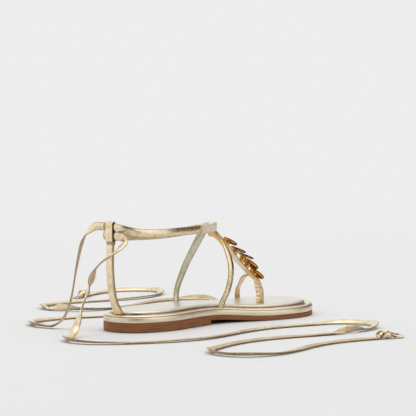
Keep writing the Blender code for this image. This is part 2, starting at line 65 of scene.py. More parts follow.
OUTLINE = [  # along/LENGTH, medial, lateral
    (0.035, 20.5, 21.5), (0.1, 28.4, 28.3), (0.18, 32.0, 31.4), (0.27, 29.9, 31.8), (0.36, 25.6, 31.4),
    (0.45, 23.8, 31.7), (0.54, 28.0, 34.2), (0.63, 35.8, 38.5), (0.72, 41.4, 41.3), (0.8, 43.0, 39.6),
    (0.87, 40.4, 33.6), (0.93, 32.8, 24.3), (0.972, 21.6, 14.4),
]
TIP_ACROSS = 7.5
PROFILE = [  # along, outsole underside, outsole top
    (0.0, 4.5, 8.7), (60.0, 4.5, 8.7), (95.0, 4.4, 8.6), (118.0, 3.6, 7.8), (138.0, 2.0, 6.2),
    (158.0, 0.45, 4.65), (170.0, 0.0, 4.2), (218.0, 0.0, 4.2), (236.0, 0.45, 4.6), (250.0, 1.3, 5.4),
]
SIDE_MEDIAL = [  # along, across, height, faces..., width
    (119.6, 20.4, 14.8, 0.0, 1.0, 0.0, 8.0), (119.8, 21.1, 17.6, 0.0, 1.0, -0.1, 7.8),
    (120.5, 26.0, 27.0, 0.0, 1.0, -0.3, 7.6), (121.0, 31.0, 40.0, 0.0, 1.0, -0.1, 7.3),
    (121.6, 31.6, 54.0, 0.0, 1.0, 0.4, 7.1), (122.4, 25.8, 68.0, 0.15, 1.0, 0.9, 7.2),
    (122.6, 15.6, 79.6, 0.7, 0.9, 0.8, 7.4), (122.0, 8.6, 83.2, 1.0, 0.5, 0.5, 7.8),
    (120.6, 1.8, 84.4, 1.0, 0.1, 0.4, 7.6),
]
SIDE_LATERAL = [
    (106.6, -26.2, 15.3, 0.0, -1.0, 0.0, 6.8), (107.2, -27.4, 25.0, 0.0, -1.0, 0.1, 6.8),
    (109.0, -24.2, 39.0, 0.2, -1.0, 0.4, 6.9), (111.4, -17.6, 55.0, 0.5, -1.0, 0.7, 7.1),
    (114.6, -10.6, 69.5, 0.8, -1.0, 0.7, 7.3), (119.4, -5.0, 83.6, 1.0, -0.7, 0.3, 7.4),
]
T_STRAP = [
    (124.4, 2.6, 86.4, 1.0, 0.2, 0.5, 16.0), (130.2, 4.8, 80.4, 1.0, 0.1, 1.0, 12.0),
    (138.4, 6.8, 72.0, 1.0, 0.0, 1.0, 10.2), (150.0, 8.9, 59.2, 1.0, 0.0, 1.0, 8.6),
    (161.8, 10.7, 47.6, 1.0, 0.0, 1.0, 8.0), (171.0, 12.2, 40.0, 1.0, 0.0, 0.9, 7.8),
    (176.6, 13.0, 34.6, 1.0, 0.0, 0.5, 7.2), (178.6, 13.4, 27.6, 1.0, 0.0, 0.1, 6.8),
]
TOE_STRAP = [
    (171.6, 8.4, 40.6, 0.6, -0.1, 1.0, 6.0), (175.4, 0.4, 40.0, 0.3, -0.2, 1.0, 6.0),
    (181.6, -11.0, 36.6, 0.2, -0.6, 1.0, 5.8), (189.6, -22.6, 29.8, 0.1, -0.9, 0.7, 5.8),
    (195.0, -32.2, 21.6, 0.15, -1.0, 0.1, 5.8), (197.0, -34.4, 14.6, 0.15, -1.0, 0.0, 5.8),
    (197.2, -34.5, 11.3, 0.15, -1.0, 0.0, 5.8),
]
HEEL_STRAP = [
    (5.4, 2.4, 16.4, -1.0, 0.1, 0.0, 10.8), (5.0, 2.3, 18.2, -1.0, 0.08, 0.0, 10.2),
    (3.8, 1.8, 21.5, -1.0, 0.05, 0.0, 9.4), (1.5, 1.0, 27.5, -1.0, 0.02, 0.0, 8.9),
    (-1.2, 0.6, 40.0, -1.0, 0.0, 0.0, 8.8), (-2.5, 0.3, 56.0, -1.0, 0.0, 0.0, 8.8),
    (-2.4, 0.1, 70.0, -1.0, 0.0, 0.0, 8.8), (-1.9, 0.0, 83.3, -1.0, 0.0, 0.0, 9.0),
]
ANKLE_RING = [  # along, across, height of the lace's middle
    (-1.9, -8.6, 96.3), (-1.9, -1.5, 96.3), (-1.9, 3.5, 96.3), (-1.6, 7.5, 96.1), (1.6, 13.6, 94.6),
    (9.0, 19.2, 92.2), (20.0, 23.6, 90.6), (42.0, 27.6, 90.0), (64.0, 25.4, 90.1), (84.0, 20.0, 89.7),
    (100.0, 16.2, 89.9), (113.0, 13.6, 90.2), (121.6, 9.2, 90.7), (125.0, 2.6, 90.7), (121.6, -5.0, 89.0),
    (112.0, -13.0, 86.4), (92.0, -22.4, 83.4), (66.0, -27.6, 82.6), (40.0, -27.4, 83.6), (18.0, -21.6, 85.4),
    (8.0, -17.4, 87.0), (1.4, -12.6, 87.8), (-1.6, -7.5, 88.1), (-1.9, -3.5, 88.2), (-1.9, 1.5, 88.2),
    (-1.9, 8.6, 88.2),
]
SLEEVE_FROM, SLEEVE_TO = (97.0, 16.9), (118.8, -7.4)
DISCS = [  # along, across, height of the disc's middle, slope down, diameter, lean to medial
    (144.3, 8.0, 74.8, 31.0, 14.4, 9.0), (153.8, 9.5, 66.5, 22.0, 15.2, 9.0),
    (162.8, 10.8, 60.0, 20.0, 15.4, 10.0), (168.4, 11.9, 51.8, 40.0, 16.2, 8.0),
    (175.6, 12.9, 42.0, 40.0, 16.0, 9.0),
]
TIE_MEDIAL = [  # along, across, height, lie (0 on edge, 1 flat)
    (-1.9, 9.0, 88.2, 0.0), (-2.0, 12.4, 88.2, 0.0), (-3.2, 19.0, 87.2, 0.1), (-7.0, 25.0, 84.9, 0.3),
    (-12.3, 28.3, 82.0, 0.6), (-19.4, 28.7, 77.6, 0.85), (-25.0, 25.6, 73.1, 1.0), (-29.3, 19.9, 68.1, 1.0),
    (-34.2, 13.8, 59.1, 1.0), (-34.6, 8.9, 47.3, 1.0), (-37.8, 6.6, 35.7, 1.0), (-41.1, 3.4, 22.2, 1.0),
    (-47.3, 3.8, 9.4, 1.0), (-55.8, 7.9, 3.2, 1.0), (-66.5, 13.3, 1.0, 1.0), (-77.0, 28.0, 1.0, 1.0),
    (-72.0, 49.0, 1.0, 1.0), (-48.0, 71.0, 1.0, 1.0), (-10.0, 90.0, 1.0, 1.0), (34.0, 96.0, 1.0, 1.0),
    (76.0, 88.0, 1.0, 1.0), (120.0, 84.0, 1.0, 1.0), (164.0, 92.0, 1.0, 1.0), (198.0, 110.0, 1.0, 1.0),
    (201.0, 140.0, 1.0, 1.0), (170.0, 156.0, 1.0, 1.0), (126.0, 153.0, 1.0, 1.0), (80.0, 141.0, 1.0, 1.0),
    (34.0, 138.0, 1.0, 1.0), (-10.0, 149.0, 1.0, 1.0), (-41.0, 172.0, 1.0, 1.0), (-34.0, 203.0, 1.0, 1.0),
    (2.0, 213.0, 1.0, 1.0), (46.0, 202.0, 1.0, 1.0), (90.0, 196.0, 1.0, 1.0), (134.0, 204.0, 1.0, 1.0),
]
TIE_LATERAL = [
    (-1.9, -9.0, 96.3, 0.0), (-1.9, -12.6, 96.3, 0.0), (-2.0, -20.0, 95.8, 0.1), (-4.0, -31.5, 87.5, 0.6),
    (-6.5, -38.0, 69.0, 1.0), (-9.0, -41.5, 46.0, 1.0), (-12.0, -45.0, 23.0, 1.0), (-16.5, -52.5, 7.0, 1.0),
    (-22.0, -65.0, 1.1, 1.0), (-23.0, -83.0, 1.0, 1.0), (-8.0, -101.0, 1.0, 1.0), (24.0, -108.0, 1.0, 1.0),
    (64.0, -98.0, 1.0, 1.0), (106.0, -86.0, 1.0, 1.0), (150.0, -84.0, 1.0, 1.0), (198.0, -92.0, 1.0, 1.0),
    (238.0, -107.0, 1.0, 1.0), (246.0, -136.0, 1.0, 1.0), (216.0, -152.0, 1.0, 1.0), (172.0, -147.0, 1.0, 1.0),
    (124.0, -138.0, 1.0, 1.0), (82.0, -152.0, 1.0, 1.0), (76.0, -184.0, 1.0, 1.0), (108.0, -204.0, 1.0, 1.0),
    (154.0, -198.0, 1.0, 1.0), (200.0, -188.0, 1.0, 1.0), (242.0, -196.0, 1.0, 1.0), (264.0, -220.0, 1.0, 1.0),
    (248.0, -248.0, 1.0, 1.0), (212.0, -252.0, 1.0, 1.0), (184.0, -242.0, 1.0, 1.0),
]


# -------------------------------------------------------------------- helpers
def at(p):
    """Points (along, across, height) in mm to the row frame in metres."""
    p = np.atleast_2d(np.asarray(p, float))
    return np.stack([-(p[:, 1] - CENTRE_ACROSS), -(p[:, 0] - CENTRE_ALONG), p[:, 2]], 1) * MM


class Smooth:
    """A cubic curve through rows of numbers, read by the distance along it."""

    def __init__(self, rows, closed=False, ruler=3):
        rows = np.array(rows, float)
        if closed:
            rows = np.vstack([rows, rows[:1]])
        step = np.linalg.norm(np.diff(rows[:, :ruler], axis=0), axis=1)
        t = np.concatenate([[0.0], np.cumsum(step)])
        n = len(rows)
        a, b = np.zeros((n, n)), np.zeros((n, rows.shape[1]))
        for i in range(1, n - 1):
            a[i, i - 1], a[i, i], a[i, i + 1] = step[i - 1], 2 * (step[i - 1] + step[i]), step[i]
            b[i] = 6 * ((rows[i + 1] - rows[i]) / step[i] - (rows[i] - rows[i - 1]) / step[i - 1])
        if closed:
            a[0, 0], a[0, -1] = 1, -1
            a[-1, 0], a[-1, 1] = 2 * step[0], step[0]
            a[-1, -2], a[-1, -1] = step[-1], 2 * step[-1]
            b[-1] = 6 * ((rows[1] - rows[0]) / step[0] - (rows[-1] - rows[-2]) / step[-1])
        else:
            a[0, 0] = a[-1, -1] = 1
        self.bend = np.linalg.solve(a, b)
        self.rows, self.t, self.step = rows, t, step
        self.fine = np.linspace(0, t[-1], 60 * n)
        p = self.value(self.fine)[:, :ruler]
        self.run = np.concatenate([[0.0], np.cumsum(np.linalg.norm(np.diff(p, axis=0), axis=1))])
        self.length = float(self.run[-1])

    def value(self, t):
        t = np.atleast_1d(t)
        i = np.clip(np.searchsorted(self.t, t, side="right") - 1, 0, len(self.step) - 1)
        h, k = self.step[i][:, None], (t - self.t[i])[:, None]
        y0, y1, m0, m1 = self.rows[i], self.rows[i + 1], self.bend[i], self.bend[i + 1]
        return (m0 * (h - k) ** 3 / (6 * h) + m1 * k ** 3 / (6 * h)
                + (y0 / h - m0 * h / 6) * (h - k) + (y1 / h - m1 * h / 6) * k)

    def read(self, d):
        return self.value(np.interp(d, self.run, self.fine))

    def heading(self, d):
        ahead = self.read(np.minimum(np.asarray(d) + 0.4, self.length))
        behind = self.read(np.maximum(np.asarray(d) - 0.4, 0.0))
        return unit((ahead - behind)[:, :3])


def unit(v):
    return v / np.linalg.norm(v, axis=-1, keepdims=True)


def smoothstep(x, low, high):
    t = np.clip((np.asarray(x, float) - low) / (high - low), 0, 1)
    return t * t * (3 - 2 * t)


def wobble(points, size, seed=0.0, octaves=2):
    """Smooth noise, about -1 to 1, at points in mm, with features of that size."""
    shift = Vector((seed * 13.7, seed * 7.1 + 3.0, seed * 5.3))
    k = 1.0 / size
    return np.array([noise.fractal(Vector((p[0] * k, p[1] * k, p[2] * k)) + shift, 0.6, 2.0, octaves)
                     for p in points])


def height_of(column, least=0.0):
    table = Smooth([(r[0], r[column]) for r in PROFILE], ruler=1)
    return lambda along: np.maximum(table.value(np.clip(along, 0, LENGTH))[:, 1], least)


under_z, top_z = height_of(1), height_of(2, PROFILE[6][2])

_ring = Smooth([(0.0, 0.0)] + [(f * LENGTH, m) for f, m, _ in OUTLINE] + [(LENGTH, TIP_ACROSS)]
               + [(f * LENGTH, -w) for f, _, w in reversed(OUTLINE)], closed=True, ruler=2)
_edge = _ring.read(np.linspace(0, _ring.length, 4001))[:-1, :2]
_tip = int(np.argmin(np.hypot(*(_edge - (LENGTH, TIP_ACROSS)).T)))


def outline(n_side, inset=0.0, toe_inset=0.0):
    """The sole's outline as two rows of points, medial and lateral, from the
    heel's back to the toe's tip, moved in by inset (more at the toe)."""
    sides = []
    for part in (np.arange(0, _tip + 1), np.arange(4000, _tip - 1, -1)):
        pick = part[np.round(np.linspace(0, len(part) - 1, n_side + 1)).astype(int)] % 4000
        t = _edge[(pick + 10) % 4000] - _edge[(pick - 10) % 4000]
        inward = np.stack([-t[:, 1], t[:, 0]], 1) / np.hypot(*t.T)[:, None]
        q = _edge[pick]
        if (inward * (np.array([125.0, 0.0]) - q)).sum() < 0:
            inward = -inward
        more = np.clip((q[:, 0] - 222.0) / 24.0, 0, 1) ** 2 * toe_inset
        sides.append(q + inward * (inset + more)[:, None])
    return sides


made = []


def build(name, verts, faces, mats, kinds=None, smooth_angle=40.0, attributes=None, uv=None):
    """A mesh object from points in the row frame, its faces turned outwards."""
    mesh = bpy.data.meshes.new(name)
    mesh.from_pydata([tuple(v) for v in verts], [], faces)
    obj = bpy.data.objects.new(name, mesh)
    bpy.context.scene.collection.objects.link(obj)
    for m in mats:
        mesh.materials.append(m)
    if kinds is not None:
        mesh.polygons.foreach_set("material_index", kinds)
    for key, values in (attributes or {}).items():
        layer = mesh.attributes.new(key, "FLOAT", "POINT")
        layer.data.foreach_set("value", np.asarray(values, np.float32))
    bm = bmesh.new()
    bm.from_mesh(mesh)
    bmesh.ops.recalc_face_normals(bm, faces=bm.faces)
    bm.to_mesh(mesh)
    bm.free()
    mesh.shade_smooth()
    mesh.set_sharp_from_angle(angle=math.radians(smooth_angle))
    made.append(obj)
    return obj


def rings_to_faces(n_rings, n, closed_path=False, caps=True):
    faces = []
    last = n_rings if closed_path else n_rings - 1
    for i in range(last):
        a, b = i * n, ((i + 1) % n_rings) * n
        for j in range(n):
            k = (j + 1) % n
            faces.append((a + j, a + k, b + k, b + j))
    if caps and not closed_path:
        faces.append(tuple(range(n)))
        faces.append(tuple(range((n_rings - 1) * n, n_rings * n)))
    return faces


# ------------------------------------------------------------------ materials
def nodes_of(name):
    m = bpy.data.materials.new(name)
    m.use_nodes = True
    nt = m.node_tree
    return m, nt, nt.nodes["Principled BSDF"]


def put(nt, kind, inputs=None, **props):
    n = nt.nodes.new(kind)
    for k, v in props.items():
        setattr(n, k, v)
    for k, v in (inputs or {}).items():
        if isinstance(v, bpy.types.NodeSocket):
            nt.links.new(v, n.inputs[k])
        else:
            n.inputs[k].default_value = v
    return n


def ramp(nt, fac, stops):
    n = put(nt, "ShaderNodeValToRGB", {"Fac": fac})
    e = n.color_ramp.elements
    while len(e) < len(stops):
        e.new(0.5)
    for item, (pos, colour) in zip(e, stops):
        item.position = pos
        item.color = (*colour, 1.0) if len(colour) == 3 else colour
    return n.outputs["Color"]


def value_ramp(nt, fac, stops):
    return ramp(nt, fac, [(p, (v, v, v)) for p, v in stops])


def mix(nt, fac, a, b, blend="MIX"):
    n = nt.nodes.new("ShaderNodeMix")
    n.data_type, n.blend_type = "RGBA", blend
    for socket, v in ((n.inputs[0], fac), (n.inputs[6], a), (n.inputs[7], b)):
        if isinstance(v, bpy.types.NodeSocket):
            nt.links.new(v, socket)
        elif isinstance(v, (int, float)):
            socket.default_value = v
        else:
            socket.default_value = (*v, 1.0)
    return n.outputs[2]


def maths(nt, op, a, b=0.0, clamp=False):
    n = nt.nodes.new("ShaderNodeMath")
    n.operation, n.use_clamp = op, clamp
    for socket, v in ((n.inputs[0], a), (n.inputs[1], b)):
        if isinstance(v, bpy.types.NodeSocket):
            nt.links.new(v, socket)
        else:
            socket.default_value = v
    return n.outputs[0]


def noise_of(nt, where, scale, detail=3.0, rough=0.55, distortion=0.0):
    return put(nt, "ShaderNodeTexNoise", {
        "Vector": where, "Scale": scale, "Detail": detail, "Roughness": rough,
        "Distortion": distortion}).outputs[0]


def cells(nt, where, scale, feature="DISTANCE_TO_EDGE", randomness=1.0):
    n = nt.nodes.new("ShaderNodeTexVoronoi")
    n.feature = feature
    nt.links.new(where, n.inputs["Vector"])
    n.inputs["Scale"].default_value = scale
    n.inputs["Randomness"].default_value = randomness
    return n.outputs["Distance"]


def foil(name, deep, mid, pale, rough=(0.22, 0.38), metallic=1.0, fine=0.06, broad=0.15, pleats=0.05,
         laid=False, edge_colour=None, warm_colour=None, speckle=0.35):
    """Metallic foil leather: fine grain and soft wrinkles under a bright skin.

    fine, broad and pleats are the heights in mm of the grain, of the wrinkles
    and of the faint pleats across a strap.  laid: the pattern follows the
    strap, along and across it."""
    m, nt, p = nodes_of(name)
    if laid:
        along = put(nt, "ShaderNodeAttribute", attribute_name="along").outputs["Fac"]
        across = put(nt, "ShaderNodeAttribute", attribute_name="across").outputs["Fac"]
        where = put(nt, "ShaderNodeCombineXYZ", {0: along, 1: across}).outputs[0]
        long_way = put(nt, "ShaderNodeMapping", {"Vector": where, "Scale": (0.42, 1.0, 1.0)}).outputs[0]
        cross_way = put(nt, "ShaderNodeMapping", {"Vector": where, "Scale": (1.0, 0.30, 1.0)}).outputs[0]
    else:
        where = nt.nodes.new("ShaderNodeTexCoord").outputs["Object"]
        long_way = cross_way = where
    haze = noise_of(nt, where, 85.0, 3.0)
    wrinkle = noise_of(nt, long_way, 620.0, 4.0, 0.62, 0.5)
    grain = noise_of(nt, where, 1900.0, 3.0, 0.6)
    pleat = noise_of(nt, cross_way, 330.0, 2.0, 0.5)
    bump = None
    for height, size in ((pleat, pleats), (wrinkle, broad), (grain, fine)):
        if size:
            inputs = {"Strength": 1.0, "Distance": size * MM, "Height": height}
            if bump:
                inputs["Normal"] = bump
            bump = put(nt, "ShaderNodeBump", inputs).outputs[0]
    nt.links.new(bump, p.inputs["Normal"])
    tone = maths(nt, "ADD", maths(nt, "MULTIPLY", haze, 0.45), maths(nt, "MULTIPLY", wrinkle, 0.55))
    colour = ramp(nt, tone, [(0.36, deep), (0.50, mid), (0.62, pale)])
    pits = maths(nt, "MULTIPLY", value_ramp(nt, grain, [(0.36, 1.0), (0.50, 0.0)]),
                 value_ramp(nt, wrinkle, [(0.40, 1.0), (0.58, 0.15)]))
    colour = mix(nt, maths(nt, "MULTIPLY", pits, speckle), colour, tuple(0.42 * c for c in deep))
    # The 'warm' and 'edge' attributes carry painted light: warm is a painted warm reflection of nearby gold parts; edge
    # is the darker colour of rolled edges and also painted shade (strap feet, post folds, inside loops and sleeve,
    # under the footbed's rim) and painted dark reflections (platform shoulder, one half of the medial strap, the ring
    # in the heel loop).
    if warm_colour:
        warm = put(nt, "ShaderNodeAttribute", attribute_name="warm").outputs["Fac"]
        colour = mix(nt, maths(nt, "MULTIPLY", warm, value_ramp(nt, wrinkle, [(0.35, 0.55), (0.6, 1.0)])),
                     colour, warm_colour)
    if edge_colour:
        worn = put(nt, "ShaderNodeAttribute", attribute_name="edge").outputs["Fac"]
        worn = maths(nt, "MULTIPLY", value_ramp(nt, worn, [(0.30, 0.0), (0.90, 0.92)]),
                     value_ramp(nt, wrinkle, [(0.30, 0.65), (0.60, 1.0)]))
        colour = mix(nt, worn, colour, edge_colour)
    nt.links.new(colour, p.inputs["Base Color"])
    p.inputs["Metallic"].default_value = metallic
    gloss = maths(nt, "ADD", maths(nt, "MULTIPLY", wrinkle, (rough[1] - rough[0]) * 1.6), rough[0] - 0.3 * (rough[1] - rough[0]))
    gloss = maths(nt, "ADD", gloss, maths(nt, "MULTIPLY", grain, 0.06))
    nt.links.new(gloss, p.inputs["Roughness"])
    return m


def lining_leather(name, dark, pale):
    """Matte lining leather with pores and faint lengthwise fibres."""
    m, nt, p = nodes_of(name)
    where = nt.nodes.new("ShaderNodeTexCoord").outputs["Object"]
    broad = noise_of(nt, where, 130.0, 3.0)
    pores = cells(nt, where, 1900.0, "F1")
    fine = noise_of(nt, where, 3400.0, 2.0)
    colour = ramp(nt, maths(nt, "ADD", maths(nt, "MULTIPLY", broad, 0.7), maths(nt, "MULTIPLY", fine, 0.3)),
                  [(0.36, dark), (0.64, pale)])
    nt.links.new(mix(nt, value_ramp(nt, pores, [(0.0, 0.35), (0.22, 0.0)]), colour, dark), p.inputs["Base Color"])
    bump = put(nt, "ShaderNodeBump", {"Strength": 0.30, "Distance": 0.00012,
                                      "Height": maths(nt, "ADD", maths(nt, "MULTIPLY", pores, 0.5), fine)})
    nt.links.new(bump.outputs[0], p.inputs["Normal"])
    nt.links.new(value_ramp(nt, broad, [(0.3, 0.46), (0.7, 0.60)]), p.inputs["Roughness"])
    p.inputs["Metallic"].default_value = 0.25
    return m


def stacked_leather(name):
    """Stacked leather edge: thin layers, waxed brown, darker in streaks."""
    m, nt, p = nodes_of(name)
    where = nt.nodes.new("ShaderNodeTexCoord").outputs["Object"]
    flat = put(nt, "ShaderNodeMapping", {"Vector": where, "Scale": (28.0, 28.0, 1500.0)}).outputs[0]
    layers = noise_of(nt, flat, 1.0, 3.0, 0.6)
    streak = put(nt, "ShaderNodeMapping", {"Vector": where, "Scale": (70.0, 70.0, 420.0)}).outputs[0]
    streaks = noise_of(nt, streak, 1.0, 3.0, 0.6)
    fine = noise_of(nt, where, 2400.0, 3.0)
    tone = maths(nt, "ADD", maths(nt, "MULTIPLY", layers, 0.45), maths(nt, "MULTIPLY", streaks, 0.45))
    tone = maths(nt, "ADD", tone, maths(nt, "MULTIPLY", fine, 0.10))
    colour = ramp(nt, tone, [(0.36, (0.165, 0.060, 0.022)), (0.50, (0.250, 0.098, 0.036)), (0.66, (0.315, 0.138, 0.056))])
    nt.links.new(colour, p.inputs["Base Color"])
    bump = put(nt, "ShaderNodeBump", {"Strength": 0.22, "Distance": 0.00016,
                                      "Height": maths(nt, "ADD", layers, maths(nt, "MULTIPLY", fine, 0.4))})
    nt.links.new(bump.outputs[0], p.inputs["Normal"])
    nt.links.new(value_ramp(nt, streaks, [(0.3, 0.46), (0.7, 0.60)]), p.inputs["Roughness"])
    p.inputs["Specular IOR Level"].default_value = 0.22
    return m


def tread_rubber(name):
    m, nt, p = nodes_of(name)
    where = nt.nodes.new("ShaderNodeTexCoord").outputs["Object"]
    grain = noise_of(nt, where, 900.0, 4.0)
    dots = cells(nt, where, 420.0, "F1", 0.2)
    nt.links.new(ramp(nt, grain, [(0.35, (0.022, 0.014, 0.010)), (0.65, (0.050, 0.030, 0.020))]), p.inputs["Base Color"])
    bump = put(nt, "ShaderNodeBump", {"Strength": 0.4, "Distance": 0.0003,
                                      "Height": maths(nt, "ADD", maths(nt, "MULTIPLY", grain, 0.4), dots)})
    nt.links.new(bump.outputs[0], p.inputs["Normal"])
    nt.links.new(value_ramp(nt, grain, [(0.3, 0.55), (0.7, 0.75)]), p.inputs["Roughness"])
    return m


def polished_gold(name):
    """Plated metal, nearly mirror bright, with faint brushing and a few specks. Where 'back' is set it is coloured dark
    brown, a painted shade under the discs; where 'rim' is set it is coloured near black, a painted dark reflection on
    the disc walls.
    """
    m, nt, p = nodes_of(name)
    where = nt.nodes.new("ShaderNodeTexCoord").outputs["Object"]
    haze = noise_of(nt, where, 160.0, 3.0)
    specks = noise_of(nt, where, 3000.0, 2.0)
    bright = ramp(nt, haze, [(0.35, (0.80, 0.44, 0.11)), (0.65, (0.93, 0.57, 0.18))])
    painted_shade_mask = put(nt, "ShaderNodeAttribute", attribute_name="back").outputs["Fac"]
    worn = mix(nt, painted_shade_mask, bright, ramp(nt, specks, [(0.30, (0.24, 0.095, 0.010)), (0.70, (0.40, 0.18, 0.025))]))
    rim = put(nt, "ShaderNodeAttribute", attribute_name="rim").outputs["Fac"]
    nt.links.new(mix(nt, rim, worn, ramp(nt, haze, [(0.40, (0.050, 0.040, 0.018)), (0.62, (0.115, 0.088, 0.040))])),
                 p.inputs["Base Color"])
    p.inputs["Metallic"].default_value = 1.0
    p.inputs["Specular Tint"].default_value = (0.62, 0.34, 0.10, 1.0)
    gloss = maths(nt, "ADD", value_ramp(nt, haze, [(0.3, 0.07), (0.7, 0.15)]), maths(nt, "MULTIPLY", specks, 0.05))
    nt.links.new(maths(nt, "ADD", gloss, maths(nt, "MULTIPLY", painted_shade_mask, 0.16)), p.inputs["Roughness"])
    bump = put(nt, "ShaderNodeBump", {"Strength": 0.06, "Distance": 0.0002, "Height": haze})
    nt.links.new(bump.outputs[0], p.inputs["Normal"])
    return m


def thread(name, dark, pale):
    m, nt, p = nodes_of(name)
    where = nt.nodes.new("ShaderNodeTexCoord").outputs["Object"]
    twist = put(nt, "ShaderNodeTexWave", {"Vector": where, "Scale": 1500.0, "Distortion": 1.5}).outputs["Fac"]
    nt.links.new(ramp(nt, twist, [(0.2, dark), (0.8, pale)]), p.inputs["Base Color"])
    bump = put(nt, "ShaderNodeBump", {"Strength": 0.5, "Distance": 0.0001, "Height": twist})
    nt.links.new(bump.outputs[0], p.inputs["Normal"])
    p.inputs["Roughness"].default_value = 0.55
    return m


# EDGE: darker bronze for the rolled strap edges, and also the colour of painted shade and painted dark reflections
# carried by the 'edge' attribute. WARM: golden orange, a painted warm reflection of the gold parts nearby and part of
# the painted shade at strap feet.
EDGE = (0.30, 0.17, 0.065)
WARM = (0.84, 0.50, 0.15)
strap_gold = foil("gold_leather_strap", (0.66, 0.52, 0.31), (0.83, 0.69, 0.45), (0.92, 0.82, 0.61), rough=(0.17, 0.30),
                  laid=True, edge_colour=EDGE, warm_colour=WARM, broad=0.09, fine=0.045, speckle=0.28)
lace_gold = foil("gold_leather_lace", (0.60, 0.46, 0.27), (0.78, 0.66, 0.44), (0.87, 0.78, 0.58), rough=(0.16, 0.30),
                 laid=True, edge_colour=EDGE, warm_colour=WARM, fine=0.06, broad=0.13, speckle=0.35)
post_gold = foil("gold_leather_post", (0.70, 0.48, 0.22), (0.90, 0.70, 0.42), (0.96, 0.84, 0.62), rough=(0.24, 0.34),
                 edge_colour=(0.50, 0.26, 0.08), broad=0.24, fine=0.05, speckle=0.2)
# A darker, greyer copy of the inside leather for the lateral strap's inside: painted shade.
shaded_inner_gold = foil("gold_leather_inside", (0.50, 0.46, 0.35), (0.68, 0.65, 0.53), (0.80, 0.78, 0.68),
                  rough=(0.22, 0.36), laid=True, edge_colour=(0.16, 0.13, 0.07), warm_colour=WARM, broad=0.08, speckle=0.2)
pale_inner = foil("pale_leather_inside", (0.86, 0.73, 0.51), (0.95, 0.84, 0.62), (0.97, 0.90, 0.73), metallic=0.22,
                  rough=(0.34, 0.50), laid=True, edge_colour=(0.55, 0.33, 0.12), warm_colour=WARM, broad=0.05,
                  speckle=0.10)
sleeve_gold = foil("gold_leather_sleeve", (0.70, 0.62, 0.49), (0.87, 0.79, 0.65), (0.95, 0.89, 0.77),
                   rough=(0.32, 0.48), metallic=0.55, edge_colour=(0.60, 0.46, 0.30), warm_colour=(0.80, 0.60, 0.46),
                   broad=0.24, fine=0.10, speckle=0.20)
band_gold = foil("gold_leather_band", (0.72, 0.63, 0.46), (0.76, 0.675, 0.51), (0.80, 0.72, 0.56),
                 rough=(0.22, 0.32), metallic=0.85, broad=0.035, fine=0.012, pleats=0.0, edge_colour=(0.17, 0.12, 0.07),
                 speckle=0.05)
bed_gold = foil("gold_leather_footbed", (0.64, 0.61, 0.52), (0.675, 0.645, 0.56), (0.71, 0.685, 0.61),
                rough=(0.25, 0.34), metallic=0.80, broad=0.030, fine=0.008, pleats=0.0, edge_colour=(0.19, 0.145, 0.085),
                speckle=0.04)
lining = lining_leather("lace_lining", (0.46, 0.33, 0.20), (0.66, 0.51, 0.34))
cream_lining = lining_leather("strap_lining", (0.60, 0.51, 0.37), (0.76, 0.68, 0.53))
brown_edge = stacked_leather("stacked_leather_edge")
tread = tread_rubber("outsole_tread")
gold_metal = polished_gold("polished_gold")
gold_thread = thread("gold_thread", (0.30, 0.19, 0.08), (0.58, 0.42, 0.22))


# ----------------------------------------------------------- straps and laces
def strap_section(n_face=11, n_edge=5):
    """Round a strap's section: part and unit place on that part."""
    rows = [("face", 1 - 2 * k / (n_face - 1)) for k in range(n_face)]
    rows += [("edge-", 90 + 180 * k / (n_edge + 1)) for k in range(1, n_edge + 1)]
    rows += [("turned", -1.0), ("turned", 0.0), ("step", -1.0)]
    rows += [("lining", v) for v in (-1.0, -0.6, -0.2, 0.2, 0.6, 1.0)]
    rows += [("step", 1.0), ("turned", 2.0), ("turned", 3.0)]
    rows += [("edge+", 270 + 180 * k / (n_edge + 1)) for k in range(1, n_edge + 1)]
    return rows


SECTION = strap_section()
KINDS = [1 if r[0] in ("step", "lining") else 0 for r in SECTION]
ALL_ROUND = [1 if r[0] in ("turned", "step", "lining") else 0 for r in SECTION]


def section_points(w, t, margin, dome, wrapped, square):
    """A strap's section: crowned face, rolled edges, and a back that is either
    as crowned as the face, or a lining set between the turned-in edges."""
    t_edge = t * square
    r = min(0.85, w * 0.13)
    core = w / 2 - r
    crown = (t - t_edge) / 2 + dome
    turned = {-1.0: -core, 0.0: -(w / 2 - margin), 2.0: w / 2 - margin, 3.0: core}
    back_crown = (t - t_edge) / 2 + (dome * 0.4 if wrapped else -0.05)

    def back(x):
        return -t_edge / 2 - back_crown * (1 - abs(x / core) ** 2.4)

    out = []
    for kind, v in SECTION:
        if kind == "face":
            out.append((v * core, t_edge / 2 + crown * (1 - abs(v) ** 2.4)))
        elif kind.startswith("edge"):
            a = math.radians(v)
            out.append(((core if kind[-1] == "+" else -core) + r * math.cos(a), t_edge / 2 * math.sin(a)))
        elif kind == "turned":
            x = turned[v]
            out.append((x, back(x)))
        elif kind == "step":
            x = math.copysign(w / 2 - margin - 0.10, v)
            out.append((x, back(x) + (0.0 if wrapped else 0.16)))
        else:
            x = v * (w / 2 - margin - 0.24)
            out.append((x, back(x) + (0.0 if wrapped else 0.12)))
    return np.array(out)


